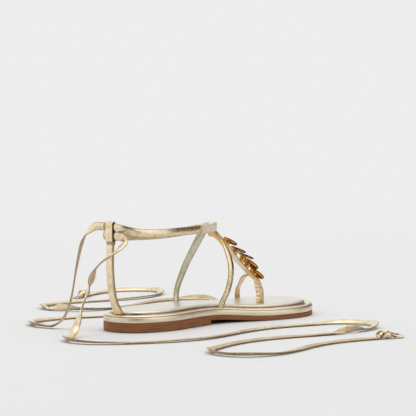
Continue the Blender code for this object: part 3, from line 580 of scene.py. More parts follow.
def ribbon(name, centre, side, out, widths, thick, mats, closed=False, creases=(), crinkle=0.06,
           ripple=0.0, seed=1.0, margin=1.25, dome=0.20, cap=0.5, size=2.4, wrapped=False, warm=(), dark=(), square=0.60,
           worn=()):
    """A folded strap carried along a path, with its skin crinkled.

    creases: (distance along in mm, depth, half length, slant in mm across).
    warm: (from, to, fade) stretches tinted golden orange: a painted warm reflection
    of the gold parts nearby, and at a strap's foot part of its painted shade.
    dark: (from, to, fade) stretches coloured dark: painted shade at a strap's foot
    and where a piece runs into or under the heel loop, a painted dark reflection on
    the ring, and the sleeve's seam fold dark all along.
    darkened: (from, to, fade, amount) stretches coloured dark on one half of the
    width only, a painted dark reflection; a minus amount is the other half."""
    centre, side, out = (np.asarray(x, float) for x in (centre, side, out))
    n = len(centre)
    run = np.concatenate([[0.0], np.cumsum(np.linalg.norm(np.diff(centre, axis=0), axis=1))])
    widths = np.broadcast_to(np.asarray(widths, float), (n,)).copy()
    thick = np.broadcast_to(np.asarray(thick, float), (n,)).copy()
    if not closed and cap > 0:
        near = np.minimum(run, run[-1] - run)
        shrink = np.sqrt(np.clip(1 - (1 - np.clip(near / cap, 0, 1)) ** 2, 0, 1))
        thick = thick * (0.30 + 0.70 * shrink)
        widths = widths - 0.9 * (1 - shrink)
    m = len(SECTION)
    points = np.zeros((n, m, 3))
    edge, across = np.zeros((n, m)), np.zeros((n, m))

    def stretch(table):
        amount = np.zeros(n)
        for low, high, fade in table:
            amount = np.maximum(amount, smoothstep(run, low - fade, low) * (1 - smoothstep(run, high, high + fade)))
        return np.repeat(amount[:, None], m, axis=1)

    for i in range(n):
        sec = section_points(widths[i], thick[i], margin, dome, wrapped, square)
        points[i] = centre[i] + sec[:, :1] * side[i] + sec[:, 1:] * out[i]
        edge[i] = smoothstep(np.abs(sec[:, 0]), widths[i] / 2 - 0.95, widths[i] / 2 - 0.10)
        across[i] = sec[:, 0] + np.where(sec[:, 1] > 0, 0.0, 20.0)
        for where, depth, half, slant in creases:
            d = run[i] - where - slant * (sec[:, 0] / (widths[i] / 2))
            g = np.exp(-(d / half) ** 2)
            ridge = 0.45 * np.exp(-((np.abs(d) - 1.9 * half) / (0.8 * half)) ** 2)
            front = (sec[:, 1] > 0).astype(float)
            points[i] += out[i] * ((ridge - g) * depth * front)[:, None]
    share = np.array([section_points(w, t, margin, dome, wrapped, square)[:, 0] / (w / 2)
                      for w, t in zip(widths, thick)]) if worn else None
    # One half of the width coloured dark over a stretch: a painted dark reflection.
    for low, high, fade, amount in worn:
        half = smoothstep(share * math.copysign(1.0, amount), -0.35, 0.20)
        edge = np.maximum(edge, abs(amount) * half * stretch([(low, high, fade)]))
    # Dark stretches: painted shade at strap feet and in and under the heel loop, a painted dark reflection on the ring.
    edge = np.maximum(edge, 0.9 * stretch(dark))
    flat = points.reshape(-1, 3)
    if crinkle:
        a = wobble(flat, size, seed, 2)
        b = 1 - np.abs(wobble(flat, size * 2.1, seed + 4.0, 1)) * 2.2
        push = (a * 0.65 + b * 0.35) * crinkle
        skin = np.tile([1.0 if wrapped or not k else 0.2 for k in KINDS], n)
        away = unit(flat - np.repeat(centre, m, axis=0))
        flat = flat + away * (push * skin)[:, None]
    if ripple:
        slow = wobble(centre, 14.0, seed + 9.0, 1) * ripple
        flat = flat + np.repeat(side * slow[:, None], m, axis=0)
    flat[:, 2] = np.maximum(flat[:, 2], 0.06)
    faces = rings_to_faces(n, m, closed)
    count = n if closed else n - 1
    kinds = (ALL_ROUND if wrapped else KINDS) * count + ([] if closed else [0, 0])
    return build(name, at(flat), faces, mats, kinds, 50.0, {
        "edge": edge.ravel(), "warm": stretch(warm).ravel(), "across": across.ravel() * MM,
        "along": np.repeat(run, m) * MM})


def frames(points, faces, t):
    f = np.asarray(faces, float)
    f = unit(f - (f * t).sum(1)[:, None] * t)
    return np.cross(t, f), f


def strap(name, rows, thick=STRAP, step=0.8, sink=(0.0, 0.0), **kw):
    """A strap from its rows.  sink: how far each end runs on into what holds it."""
    curve = Smooth(rows)
    d = np.linspace(0, curve.length, max(8, int(curve.length / step)))
    table, t = curve.read(d), curve.heading(d)
    if sink[0]:
        first = table[0].copy()
        first[:3] -= t[0] * sink[0]
        table, t = np.vstack([first, table]), np.vstack([t[:1], t])
    if sink[1]:
        last = table[-1].copy()
        last[:3] += t[-1] * sink[1]
        table, t = np.vstack([table, last]), np.vstack([t, t[-1:]])
    side, out = frames(table[:, :3], table[:, 3:6], t)
    return ribbon(name, table[:, :3], side, out, table[:, 6], thick, **kw)


# ---------------------------------------------------------------- the camera
TURN, TILT = math.radians(45.36), math.radians(4.02)
right = Vector((-math.cos(TURN), -math.sin(TURN), 0.0))
ahead = Vector((math.sin(TURN) * math.cos(TILT), -math.cos(TURN) * math.cos(TILT), -math.sin(TILT)))
upward = right.cross(ahead)
camera_data = bpy.data.cameras.new("camera")
camera_data.lens, camera_data.sensor_width = 200.27, 36.0
camera_data.clip_start, camera_data.clip_end = 0.05, 60.0
camera = bpy.data.objects.new("camera", camera_data)
place = Vector(at((-1411.6, 1553.6, 260.9))[0])
camera.matrix_world = Matrix((
    (right.x, upward.x, -ahead.x, place.x), (right.y, upward.y, -ahead.y, place.y),
    (right.z, upward.z, -ahead.z, place.z), (0, 0, 0, 1)))
bpy.context.scene.collection.objects.link(camera)
bpy.context.scene.camera = camera


# ------------------------------------------------------ the lace's free ends
def lay_tie(rows, flips, seed):
    """Where a free end goes: centres, sides and upper faces.  A flat lace
    won't bend in its own plane, so it tips up on its inner edge in a turn.
    flips: (distance in mm, length) where it turns over."""
    route = Smooth(rows)
    d = np.linspace(0, route.length, int(route.length / 1.0))
    table, t = route.read(d), route.heading(d)
    table[:, 2] = table[:, 2].clip(LACE_LIES, None)
    n = len(d)
    plan = np.unwrap(np.arctan2(t[:, 1], t[:, 0]))
    kappa = np.gradient(plan, d)
    kernel = np.hanning(31)
    kernel /= kernel.sum()
    kappa = np.convolve(np.pad(kappa, 15, mode="edge"), kernel, mode="valid")
    on_floor = smoothstep(-table[:, 2], -9.0, -1.4)
    roll = np.radians(52.0) * np.tanh(kappa * 15.0) * on_floor
    roll += np.radians(5.0) * wobble(table[:, :3], 46.0, seed, 1) * on_floor
    for where, length in flips:
        roll += math.pi * smoothstep(d, where - length / 2, where + length / 2)
    level = np.stack([-t[:, 1], t[:, 0], np.zeros(n)], 1)
    level = unit(level)
    flat = np.cross(t, level)
    lie = smoothstep(table[:, 3], 0.0, 1.0)[:, None]
    base = unit(np.array([-1.0, 0.0, 0.0]) * (1 - lie) + flat * lie)
    side, out = frames(table[:, :3], base, t)
    c, s = np.cos(roll)[:, None], np.sin(roll)[:, None]
    side, out = side * c + out * s, out * c - side * s
    need = np.abs(side[:, 2]) * LACE_W / 2 + np.abs(out[:, 2]) * LACE_T / 2 + 0.12
    centre = table[:, :3].copy()
    centre[:, 2] = np.maximum(centre[:, 2], need)
    centre[:, 2] += 0.5 * np.clip(wobble(table[:, :3], 60.0, seed + 2.0, 1), 0, 1) * on_floor
    return centre, side, out, t


def local(origin, travel, points):
    """Points (forward, sideways, up) to the shoe's directions."""
    f = unit(np.array([travel[0], travel[1], 0.0]))
    s = np.array([-f[1], f[0], 0.0])
    p = np.atleast_2d(points)
    return origin + p[:, :1] * f + p[:, 1:2] * s + p[:, 2:] * np.array([0, 0, 1.0])


def band(name, origin, travel, path, out, width, thick, closed, seed, mats):
    path, out = np.array(path, float), np.array(out, float)
    p = local(np.zeros(3), travel, path) + origin
    o = local(np.zeros(3), travel, out)
    if closed:
        t = unit(np.roll(p, -1, 0) - np.roll(p, 1, 0))
    else:
        t = unit(np.gradient(p, axis=0))
    side, o = frames(p, o, t)
    return ribbon(name, p, side, o, width, thick, mats, closed, crinkle=0.10, seed=seed, margin=1.1,
                  size=1.8, dome=0.28)


def knot(side_name, end, travel):
    """An overhand knot in flat leather: the lace runs in, wraps over itself
    twice on the slant, and leaves in two folded tips."""
    seed = 3.0 if side_name == "medial" else 6.0
    mats = [lace_gold, lining]
    origin = np.array([end[0], end[1], 0.0]) + unit(np.array([travel[0], travel[1], 0.0])) * 7.0
    pieces = []
    a = np.linspace(0, 2 * math.pi, 61)[:-1]
    for k, (lean, shift, half_w, half_h, width) in enumerate((
            (2.6, -1.9, 4.0, 2.9, 5.6), (-2.9, 1.7, 4.2, 3.0, 5.4))):
        x = shift + lean * np.sin(a + 0.5)
        y = half_w * np.cos(a)
        z = 4.0 + half_h * np.sin(a) + 0.0
        outwards = np.stack([np.zeros(60), np.cos(a) / half_w, np.sin(a) / half_h], 1)
        pieces.append(band(f"knot_{side_name}_wrap_{k + 1}", origin, travel, np.stack([x, y, z], 1), outwards,
                           width, 1.5, True, seed + k, mats))
    u = np.linspace(0, 1, 40)
    over = np.stack([-6.6 + 13.4 * u, 2.6 * np.sin(2.4 * math.pi * (u - 0.2)) * np.sin(math.pi * u),
                     1.4 + 5.6 * np.sin(math.pi * u) ** 0.8], 1)
    pieces.append(band(f"knot_{side_name}_pass", origin, travel, over,
                       np.stack([np.gradient(-over[:, 2]), np.zeros(40), np.full(40, 0.4)], 1),
                       5.4, 1.5, False, seed + 2, mats))
    core = np.stack([-6.0 + 12.4 * u, 0.5 * np.sin(6 * u), np.full(40, 3.4)], 1)
    pieces.append(band(f"knot_{side_name}_core", origin, travel, core, [(0, 0, 1.0)] * 40, 6.2, 4.2, False,
                       seed + 3, mats))
    for k, (bend, lift, long, turn) in enumerate(((1.9, 0.5, 13.0, 0.35), (-2.1, 1.7, 9.5, -0.55))):
        tip = np.stack([5.0 + (long + 0.8) * u, bend * u + 0.6 * np.sin(3 * u + k) * bend * 0.2,
                        1.1 + (2.6 + lift) * (1 - u) ** 1.6 + lift * 0.5 * u], 1)
        outward = np.stack([np.zeros(40), np.sin(turn * (0.4 + u)), np.cos(turn * (0.4 + u))], 1)
        pieces.append(band(f"knot_{side_name}_tip_{k + 1}", origin, travel, tip, outward,
                           4.6 + 2.2 * u - 1.6 * smoothstep(u, 0.86, 1.0), 1.3, False, seed + 5 + k, mats))
    for p in pieces:
        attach(p, "root")
        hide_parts(f"tie_knot_{side_name}")
    return pieces


for side_name, rows, flips, seed in (
        ("medial", TIE_MEDIAL, [(560.0, 46.0)], 1.0), ("lateral", TIE_LATERAL, [(330.0, 46.0), (640.0, 46.0)], 2.0)):
    centre, side, out, travel = lay_tie(rows, flips, seed)
    tie = ribbon(f"lace_end_{side_name}", centre, side, out, LACE_W, LACE_T, [lace_gold, lining],
                 crinkle=0.08, ripple=0.10, seed=seed, cap=0.0)
    tips = knot(side_name, centre[-1], travel[-1])
    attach(tie, "root")
    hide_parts(f"tie_{side_name}")

# ------------------------------------------------------- ring round the ankle
ring = Smooth(ANKLE_RING)
d = np.linspace(0, ring.length, int(ring.length / 0.9))
table, way = ring.read(d), ring.heading(d)


def ring_faces(p):
    f = (p - np.array([60.0, 0.0, 90.0])) * (1, 1, 0)
    f = unit(f)
    back = np.clip((12.0 - p[:, 0]) / 12.0, 0, 1)[:, None]
    return f * (1 - back) + np.array([-1.0, 0, 0]) * back


table[0] -= way[0] * 0.42   # the cut ends meet the free ends outside the heel loop
table[-1] += way[-1] * 0.42
side, out = frames(table, ring_faces(table), way)
# The ring's stretch from 2 to 9 mm, through the heel loop, is coloured dark: a painted dark reflection.
ankle = ribbon("lace_ankle_ring", table, side, out, LACE_W, LACE_T, [lace_gold, lining], crinkle=0.07,
               ripple=0.06, seed=3.0, cap=0.0, dark=[(2.0, 9.0, 5.0)])
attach(ankle, "root")
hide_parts("ankle_tie")


# ------------------------------------------------------------- ankle sleeve
def tube(name, centre, side, out, high, deep, wall, mats, crinkle=0.15, seed=5.0, size=2.0, lip=0.5, rise=0.9):
    """A flat sleeve: its outer skin, rolled ends that close on the lace, and the inside."""
    n = len(centre)

    def loop(h, d, r, k=40):
        pts = []
        for cx, cy, a0 in ((1, 1, 0), (-1, 1, 90), (-1, -1, 180), (1, -1, 270)):
            for j in range(k // 4):
                a = math.radians(a0 + 90 * j / (k // 4 - 1))
                pts.append((cx * (h / 2 - r) + r * math.cos(a), cy * (d / 2 - r) + r * math.sin(a)))
        return np.array(pts)

    outer = loop(high + 2 * rise, deep + 2 * wall, min(2.1, (deep + 2 * wall) / 2 - 0.05))
    inner = loop(high, deep, min(0.9, deep / 2 - 0.05))
    snug = loop(high - 0.95, deep - 0.66, min(0.6, deep / 2 - 0.35))
    m = len(outer)
    stack, kinds = [], []
    run = np.concatenate([[0.0], np.cumsum(np.linalg.norm(np.diff(centre, axis=0), axis=1))])
    near = np.minimum(run, run[-1] - run)
    roll = np.sqrt(np.clip(1 - (1 - np.clip(near / lip, 0, 1)) ** 2, 0, 1))
    for i in range(n):
        sec = snug + (outer - snug) * (0.06 + 0.94 * roll[i])
        stack.append(centre[i] + sec[:, :1] * side[i] + sec[:, 1:] * out[i])
    for i in range(n - 1, -1, -1):
        sec = snug + (inner - snug) * roll[i] + (outer - snug) * 0.06 * (1 - roll[i])
        stack.append(centre[i] + sec[:, :1] * side[i] + sec[:, 1:] * out[i])
    pts = np.array(stack).reshape(-1, 3)
    edge = np.zeros(len(stack) * m)
    # The inside of the sleeve is coloured part way to the edge colour: painted shade inside it.
    ends = np.concatenate([0.22 - 0.22 * smoothstep(near, 0.2, 1.6), np.full(n, 0.5)])
    edge += np.repeat(ends, m)
    push = wobble(pts, size, seed, 2) * crinkle + wobble(pts, 5.5, seed + 2.0, 1) * crinkle * 1.3
    push[n * m:] = 0
    away = unit(pts - np.repeat(np.concatenate([centre, centre[::-1]]), m, axis=0))
    pts = pts + away * push[:, None]
    faces = rings_to_faces(2 * n, m, closed_path=True)
    kinds = [0] * (n * m) + [1] * (n * m)
    warm = np.concatenate([1 - smoothstep(run, 3.0, 9.5), np.zeros(n)])
    return build(name, at(pts), faces, mats, kinds, 50.0, {"edge": edge, "warm": np.repeat(warm, m) * 0.75})


coarse = ring.read(np.linspace(0, ring.length, 97))
start = int(np.argmin(np.hypot(*(coarse[:, :2] - SLEEVE_FROM).T)))
stop = int(np.argmin(np.hypot(*(coarse[:, :2] - SLEEVE_TO).T)))
d = np.linspace(ring.length * start / 96, ring.length * stop / 96 + 2.4, 60)
p, t = ring.read(d), ring.heading(d)
side, out = frames(p, ring_faces(p), t)
sleeve = tube("ankle_sleeve", p, side, out, LACE_W + 0.2, LACE_T + 0.35, 1.45, [sleeve_gold, sleeve_gold],
              crinkle=0.20, lip=0.9)

# the sleeve's closing seam: a short fold standing on its upper edge
fold = d[2:15]
q, way = ring.read(fold), ring.heading(fold)
lateral_way, outwards = frames(q, ring_faces(q), way)
top_edge = q + np.array([0, 0, 1.0]) * (LACE_W / 2 + 0.78) + outwards * 1.2
seam_fold = ribbon("sleeve_seam_fold", top_edge, outwards, np.tile([0, 0, 1.0], (len(fold), 1)), 1.3, 0.7,
                   [post_gold, post_gold], crinkle=0.03, seed=17.0, margin=0.5, dome=0.1, cap=0.8,
                   dark=[(0.0, 20.0, 1.0)])

upper = [
    sleeve, seam_fold,
    # Medial strap: warm at its top is a painted reflection of the gold parts nearby; warm and dark at its foot are
    # painted shade where it enters the groove; the half darkened from 22 to 46 mm is a painted dark reflection.
    strap("side_strap_medial", SIDE_MEDIAL, mats=[strap_gold, pale_inner], seed=11.0, sink=(1.6, 0.0), wrapped=True,
          dome=0.32, warm=[(68.0, 90.0, 8.0), (0.0, 1.4, 1.6)], dark=[(0.0, 0.8, 1.2)],
          worn=[(22.0, 46.0, 9.0, -0.88)],
          creases=[(8.0, 0.20, 1.0, 0.5), (21.5, 0.30, 1.1, -0.7), (26.0, 0.22, 0.9, 0.4), (33.0, 0.18, 1.3, -0.4),
                   (50.0, 0.16, 1.3, 0.6)]),
    # Lateral strap: its inside uses the darker, greyer inside leather, painted shade.
    strap("side_strap_lateral", SIDE_LATERAL, mats=[strap_gold, shaded_inner_gold], seed=12.0, sink=(1.6, 2.0), wrapped=True,
          dome=0.42, creases=[(14.0, 0.25, 1.0, 0.4), (33.0, 0.26, 1.1, -0.6), (57.0, 0.30, 1.0, 0.8)]),
    # T-strap: its warm stretches at the top and near the lower discs are a painted reflection of the gold parts nearby.
    strap("t_strap", T_STRAP, mats=[strap_gold, pale_inner], seed=13.0, sink=(0.0, 0.8), margin=1.0,
          warm=[(0.0, 9.0, 7.0), (58.0, 80.0, 6.0)],
          creases=[(8.0, 0.25, 1.0, 0.8), (64.0, 0.26, 0.9, -0.5), (71.0, 0.30, 0.9, 0.5)]),
    # Toe strap: warm at its top is a painted reflection of the gold parts nearby; warm and dark at its foot are painted
    # shade where it enters the groove.
    strap("toe_strap", TOE_STRAP, mats=[strap_gold, pale_inner], seed=14.0, sink=(0.0, 1.6), dome=0.34, margin=1.0,
          warm=[(0.0, 12.0, 12.0), (52.0, 60.0, 6.0)], dark=[(57.0, 60.0, 1.5)],
          creases=[(26.0, 0.22, 0.9, 0.4), (41.0, 0.30, 0.9, -0.6), (48.0, 0.26, 0.8, 0.5)]),
]

POST_SHAPE = [  # along, across, height, width, depth
    (173.8, 12.4, 38.6, 5.6, 3.0), (176.2, 12.9, 33.6, 7.0, 4.2), (178.2, 13.4, 28.0, 7.9, 5.0),
    (179.2, 13.5, 22.0, 8.1, 5.2), (179.5, 13.5, 17.0, 8.3, 5.2), (179.5, 13.5, 13.2, 8.5, 5.3),
]


POST_GATHERS = [  # distance along, height, half length, slant, where round it (radians)
    (4.0, 0.35, 1.6, 0.8, 3.6), (6.6, -0.45, 0.9, -0.9, 4.4), (8.6, 0.55, 1.5, 0.6, 4.9), (10.9, -0.50, 0.8, 1.0, 4.0),
    (12.6, 0.60, 1.6, -0.7, 4.3), (15.2, -0.55, 0.9, 0.9, 5.2), (17.2, 0.55, 1.5, 0.8, 3.9), (19.6, -0.50, 0.8, -0.8, 4.6),
    (21.6, 0.45, 1.3, 0.5, 4.7), (7.5, 0.40, 2.0, 1.2, 1.2), (13.5, 0.40, 2.0, -1.0, 1.8), (18.5, 0.40, 1.8, 1.0, 1.0),
]


def post(name, rows, mats, seed):
    """The wrapped toe post: a thick rounded strap gathered in soft lumps."""
    curve = Smooth(rows)
    d = np.linspace(0, curve.length, 72)
    tbl, t = curve.read(d), curve.heading(d)
    side, out = frames(tbl[:, :3], np.tile([1.0, 0.0, 0.25], (len(d), 1)), t)
    m = 48
    pts, edge = [], []
    for i in range(len(d)):
        lump = 0.0
        for j in range(m):
            a = 2 * math.pi * j / m
            ca, sa = math.cos(a), math.sin(a)
            twist = sum(h * math.exp(-((d[i] - at_d - lean * ca) / half) ** 2) * (0.5 + 0.5 * math.cos(a - turn))
                        for at_d, h, half, lean, turn in POST_GATHERS)
            x = math.copysign(abs(ca) ** 0.85, ca) * (tbl[i, 3] / 2 + 0.5 * twist)
            y = math.copysign(abs(sa) ** 0.85, sa) * (tbl[i, 4] / 2 + twist)
            pts.append(tbl[i, :3] + side[i] * x + out[i] * y)
            # Darker at the post's sides; darker in the hollows between gathers and at its foot, painted shade.
            edge.append(max(smoothstep(abs(ca), 0.82, 1.0) * 0.75, 0.9 * smoothstep(d[i], curve.length - 3.0, curve.length - 1.0),
                            0.9 * smoothstep(-twist, 0.12, 0.40)))
    pts = np.array(pts)
    push = wobble(pts, 2.6, seed, 2) * 0.20
    away = unit(pts - np.repeat(tbl[:, :3], m, axis=0))
    return build(name, at(pts + away * push[:, None]), rings_to_faces(len(d), m), mats, None, 60.0,
                 {"edge": np.array(edge)})


upper.append(post("toe_post", POST_SHAPE, [post_gold], 15.0))
for piece in upper:
    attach(piece, "root")
    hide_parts("upper")

# ------------------------------------------------------- heel strap and loop
# Heel strap: warm and dark at its foot are painted shade where it enters the groove; dark at its top end is painted
# shade inside the heel loop.
heel_parts = [strap("heel_strap_stem", HEEL_STRAP, thick=3.0, square=0.92, mats=[strap_gold, cream_lining], seed=21.0,
                    sink=(1.4, 0.0), dome=0.02, warm=[(0.0, 3.0, 2.5)], dark=[(0.0, 1.4, 1.4), (66.4, 70.0, 0.6)],
                    creases=[(16.0, 0.12, 1.2, 0.5), (36.0, 0.10, 1.4, -0.8), (52.0, 0.10, 1.2, 0.5)])]
# the strap's end folded over the lace: up inside, over the top, down outside
deep = LACE_T + 2 * SLIP + SLEEVE_WALL
low, high, half = HEEL_LOOP_LOW + 0.2, HEEL_LOOP_HIGH - SLEEVE_WALL / 2, deep / 2
mid = -1.9
fold = [(mid + 0.2, 79.0), (mid + half * 0.75, 82.4), (mid + half, 86.0), (mid + half, 92.0), (mid + half, 97.0),
        (mid + half * 0.86, 99.8), (mid, high), (mid - half * 0.86, 99.8), (mid - half, 97.0),
        (mid - half, 92.0), (mid - half, 87.0), (mid - half * 0.92, 84.4), (mid - half * 0.88, low)]
curve = Smooth([(s, 0.0, z) for s, z in fold])
d = np.linspace(0, curve.length, 70)
p, t = curve.read(d), curve.heading(d)
outward = np.stack([t[:, 2], np.zeros(70), -t[:, 0]], 1)
side, out = frames(p, outward, t)
# The loop is coloured dark along its lower end: a painted shadow line where it lies over the strap.
heel_parts.append(ribbon("heel_loop", p, side, out, HEEL_LOOP_WIDE, SLEEVE_WALL + 0.15, [strap_gold, cream_lining],
                         crinkle=0.05, seed=23.0, creases=[(24.0, 0.12, 0.9, 0.6)], cap=0.5, dome=0.05,
                         dark=[(curve.length - 0.35, curve.length + 2.0, 0.4)]))
for piece in heel_parts:
    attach(piece, "root")
    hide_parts("heel_strap")


# ------------------------------------------------------------------- stitches
def stitches(name, centres, along, out, mat, long=1.7, thick=0.30, sink=0.13):
    """A row of stitches: one short bowed thread at each place."""
    verts, faces = [], []
    m, n = 6, 7
    for c, a, o in zip(centres, along, out):
        s = np.cross(a, o)
        base = len(verts)
        for i in range(n):
            u = i / (n - 1) * 2 - 1
            r = thick / 2 * math.sqrt(max(0.08, 1 - u ** 4))
            lift = thick * 0.55 * (1 - u * u) - sink
            for j in range(m):
                w = 2 * math.pi * j / m
                verts.append(c + a * (u * long / 2) + o * (lift + r * math.sin(w)) + s * (r * 1.15 * math.cos(w)))
        faces += [tuple(base + q for q in f) for f in rings_to_faces(n, m)]
    return build(name, at(np.array(verts)), faces, [mat], None, 60.0)


def stitch_row(name, rows, inset, spacing, mat, thick, start, end, sides=(1, -1), lift=0.0):
    curve = Smooth(rows)
    count = int((curve.length - start - end) / spacing)
    d = start + spacing * (np.arange(count) + 0.5)
    tbl, t = curve.read(d), curve.heading(d)
    side, out = frames(tbl[:, :3], tbl[:, 3:6], t)
    c, a, o = [], [], []
    for s in sides:
        c.append(tbl[:, :3] + side * (s * (tbl[:, 6:7] / 2 - inset)) + out * (thick / 2 + 0.10 + lift))
        a.append(t)
        o.append(out)
    return stitches(name, np.vstack(c), np.vstack(a), np.vstack(o), mat, long=spacing * 0.66)


piece = stitch_row("stitches_heel_strap", HEEL_STRAP, 1.25, 1.7, gold_thread, 3.0, 3.4, 1.0, sides=(-1,), lift=-0.16)
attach(piece, "root")

# --------------------------------------------------------------------- discs
strap_line = Smooth(T_STRAP).read(np.linspace(0, Smooth(T_STRAP).length, 400))[:, :3]


def turned(profile, n=96):
    """Points and faces of a profile (radius, height) turned about its axis."""
    verts, faces, rows = [], [], []
    for r, h in profile:
        if r < 1e-6:
            rows.append([len(verts)])
            verts.append((0.0, 0.0, h))
        else:
            rows.append(list(range(len(verts), len(verts) + n)))
            verts += [(r * math.cos(2 * math.pi * j / n), r * math.sin(2 * math.pi * j / n), h) for j in range(n)]
    for a, b in zip(rows, rows[1:]):
        for j in range(n):
            k = (j + 1) % n
            if len(a) == 1:
                faces.append((a[0], b[j], b[k]))
            elif len(b) == 1:
                faces.append((a[j], a[k], b[0]))
            else:
                faces.append((a[j], a[k], b[k], b[j]))
    return np.array(verts), faces


for k, (along, m, z, slope, wide, lean) in enumerate(DISCS, 1):
    a, b = math.radians(slope), math.radians(lean)
    axis = np.array([math.sin(a) * math.cos(b), math.sin(b), math.cos(a) * math.cos(b)])
    upslope = np.array([-math.cos(a), 0.0, math.sin(a)])
    across = np.cross(upslope, axis)
    centre = np.array([along, m, z])
    foot = centre + upslope * STUD_BACK * wide
    reach = strap_line - foot
    off = np.linalg.norm(reach - (reach @ -axis)[:, None] * -axis, axis=1)
    drop = float(reach[int(np.argmin(off))] @ -axis)
    r, h = wide / 2, DISC_T / 2
    top = [(0.0, h + 0.60), (r * 0.3, h + 0.57), (r * 0.55, h + 0.48), (r * 0.78, h + 0.34), (r - 0.75, h + 0.22)]
    rim = [(r - 0.35, h + 0.15), (r - 0.12, h + 0.06), (r - 0.02, h - 0.04), (r, h - 0.10), (r, -h + 0.84),
           (r - 0.03, -h + 0.76), (r - 0.14, -h + 0.64), (r - 0.30, -h + 0.52), (r - 0.95, -h + 0.10), (r - 1.15, -h + 0.02)]
    back = [(r - 1.40, -h), (r - 1.55, -h + 0.10), (r - 1.75, -h + 0.45), (r - 2.4, -h + 0.62), (r * 0.4, -h + 0.68),
            (0.0, -h + 0.68)]
    v, f = turned(top + rim + back)
    basis = np.stack([across, upslope, axis])
    from_axis = np.hypot(v[:, 0], v[:, 1])
    # Painted shade: the disc's underside is coloured dark brown. Painted dark reflection: its outer wall is coloured
    # near black.
    disc_underside_shade = np.where((from_axis < r - 1.45) & (v[:, 2] < 0), 1.0, 0.0)
    dark_wall_reflection = np.where((from_axis > r - 0.40) & (v[:, 2] > -h + 0.80), 1.0, 0.0)
    disc = build(f"gold_disc_{k}", at(v @ basis + centre), f, [gold_metal], None, 35.0,
                 {"back": disc_underside_shade, "rim": dark_wall_reflection})
    head, post_top, post_foot = BOSS_HEAD * wide / 2, -h + 0.7, -drop + STRAP / 2 - 0.3
    stud = [(0.0, post_top), (head * 0.97, post_top), (head, -h + 0.35), (head * 0.96, -h + 0.05)]
    for u in (0.2, 0.4, 0.6, 0.8, 0.95):
        bulge = 0.35 * math.sin(math.pi * u)
        stud.append((head + (BOSS_FOOT / 2 - head) * u + bulge, -h + (post_foot + h) * u))
    stud += [(BOSS_FOOT / 2 + 0.15, post_foot + 0.50), (BOSS_FOOT / 2 + 0.30, post_foot + 0.35),
             (BOSS_FOOT / 2 + 0.30, post_foot + 0.10), (0.0, post_foot)]
    v, f = turned(stud, 56)
    # The boss is coloured dark brown, darker towards the disc: painted shade under the disc.
    rivet = build(f"disc_boss_{k}", at(v @ basis + foot), f, [gold_metal], None, 35.0,
                  {"back": 0.25 + 0.5 * smoothstep(v[:, 2], -drop * 0.6, -h)})
    for piece in (disc, rivet):
        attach(piece, "root")
        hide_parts(f"disc_{k}")


# ----------------------------------------------------------------------- sole
def sole_layer(name, rings, n_side, mats, kind_of=None, rungs=24, top=None, bottom=None, angle=40.0, shape=None,
               attributes=None):
    """A layer of the sole from its rings (inset, toe inset, height function),
    with its underside and top filled by rungs that can be shaped."""
    verts, faces, kinds, edge = [], [], [], []
    n = 2 * n_side
    for inset, toe, z in rings:
        medial, lateral = outline(n_side, inset, toe)
        loop = np.vstack([medial, lateral[-2:0:-1]])
        verts.append(np.column_stack([loop, z(loop[:, 0])]))
    for i in range(len(rings) - 1):
        for j in range(n):
            k = (j + 1) % n
            faces.append((i * n + j, i * n + k, (i + 1) * n + k, (i + 1) * n + j))
            kinds.append(kind_of(i) if kind_of else 0)
    count = len(rings) * n
    for ring_i, form, kind in ((0, bottom, kind_of(-1) if kind_of else 0),
                               (len(rings) - 1, top, kind_of(len(rings)) if kind_of else 0)):
        base = ring_i * n
        loop = verts[ring_i]
        grid = []
        for j in range(1, n_side):
            a, b = base + j, base + n - j
            pa, pb = loop[j], loop[n - j]
            u = np.linspace(0, 1, rungs + 1)[1:-1]
            mid_pts = pa + (pb - pa) * u[:, None]
            if form is not None:
                mid_pts[:, 2] += form(mid_pts, pa, pb, u)
            verts.append(mid_pts)
            grid.append([a] + list(range(count, count + rungs - 1)) + [b])
            count += rungs - 1
        for r0, r1 in zip(grid, grid[1:]):
            for q in range(rungs):
                faces.append((r0[q], r0[q + 1], r1[q + 1], r1[q]))
                kinds.append(kind)
        for tip, row in ((base, grid[0]), (base + n_side, grid[-1])):
            for q in range(rungs):
                faces.append((tip, row[q], row[q + 1]))
                kinds.append(kind)
    pts = np.vstack(verts)
    if shape is not None:
        pts = shape(pts)
    return build(name, at(pts), faces, mats, kinds, angle, attributes and attributes(len(pts)))


def profile_rings(points, base, toe=0.0, steps=4):
    """Rings through (inset, rise) points, smoothed between them."""
    curve = Smooth(points, ruler=2)
    q = curve.read(np.linspace(0, curve.length, steps * (len(points) - 1) + 1))
    return [(float(i), toe, (lambda s, r=float(r): base(s) + r)) for i, r in q]


def low_edge(inset, rise):
    return (inset, 0.0, lambda s: under_z(s) + rise)


outsole = sole_layer("brown_outsole", [
    low_edge(1.3, 0.02), low_edge(0.30, 0.03), low_edge(0.08, 0.10), low_edge(0.02, 0.30), low_edge(0.0, 1.2),
    (0.0, 0.0, lambda s: (under_z(s) + top_z(s)) / 2), (0.05, 0.0, lambda s: top_z(s) - 1.0),
    (0.22, 0.0, lambda s: top_z(s) - 0.25), (0.55, 0.0, lambda s: top_z(s) + 0.14), (1.3, 0.0, lambda s: top_z(s) + 0.22),
], 180, [brown_edge, tread], kind_of=lambda i: 1 if i < 1 else 0, rungs=10)

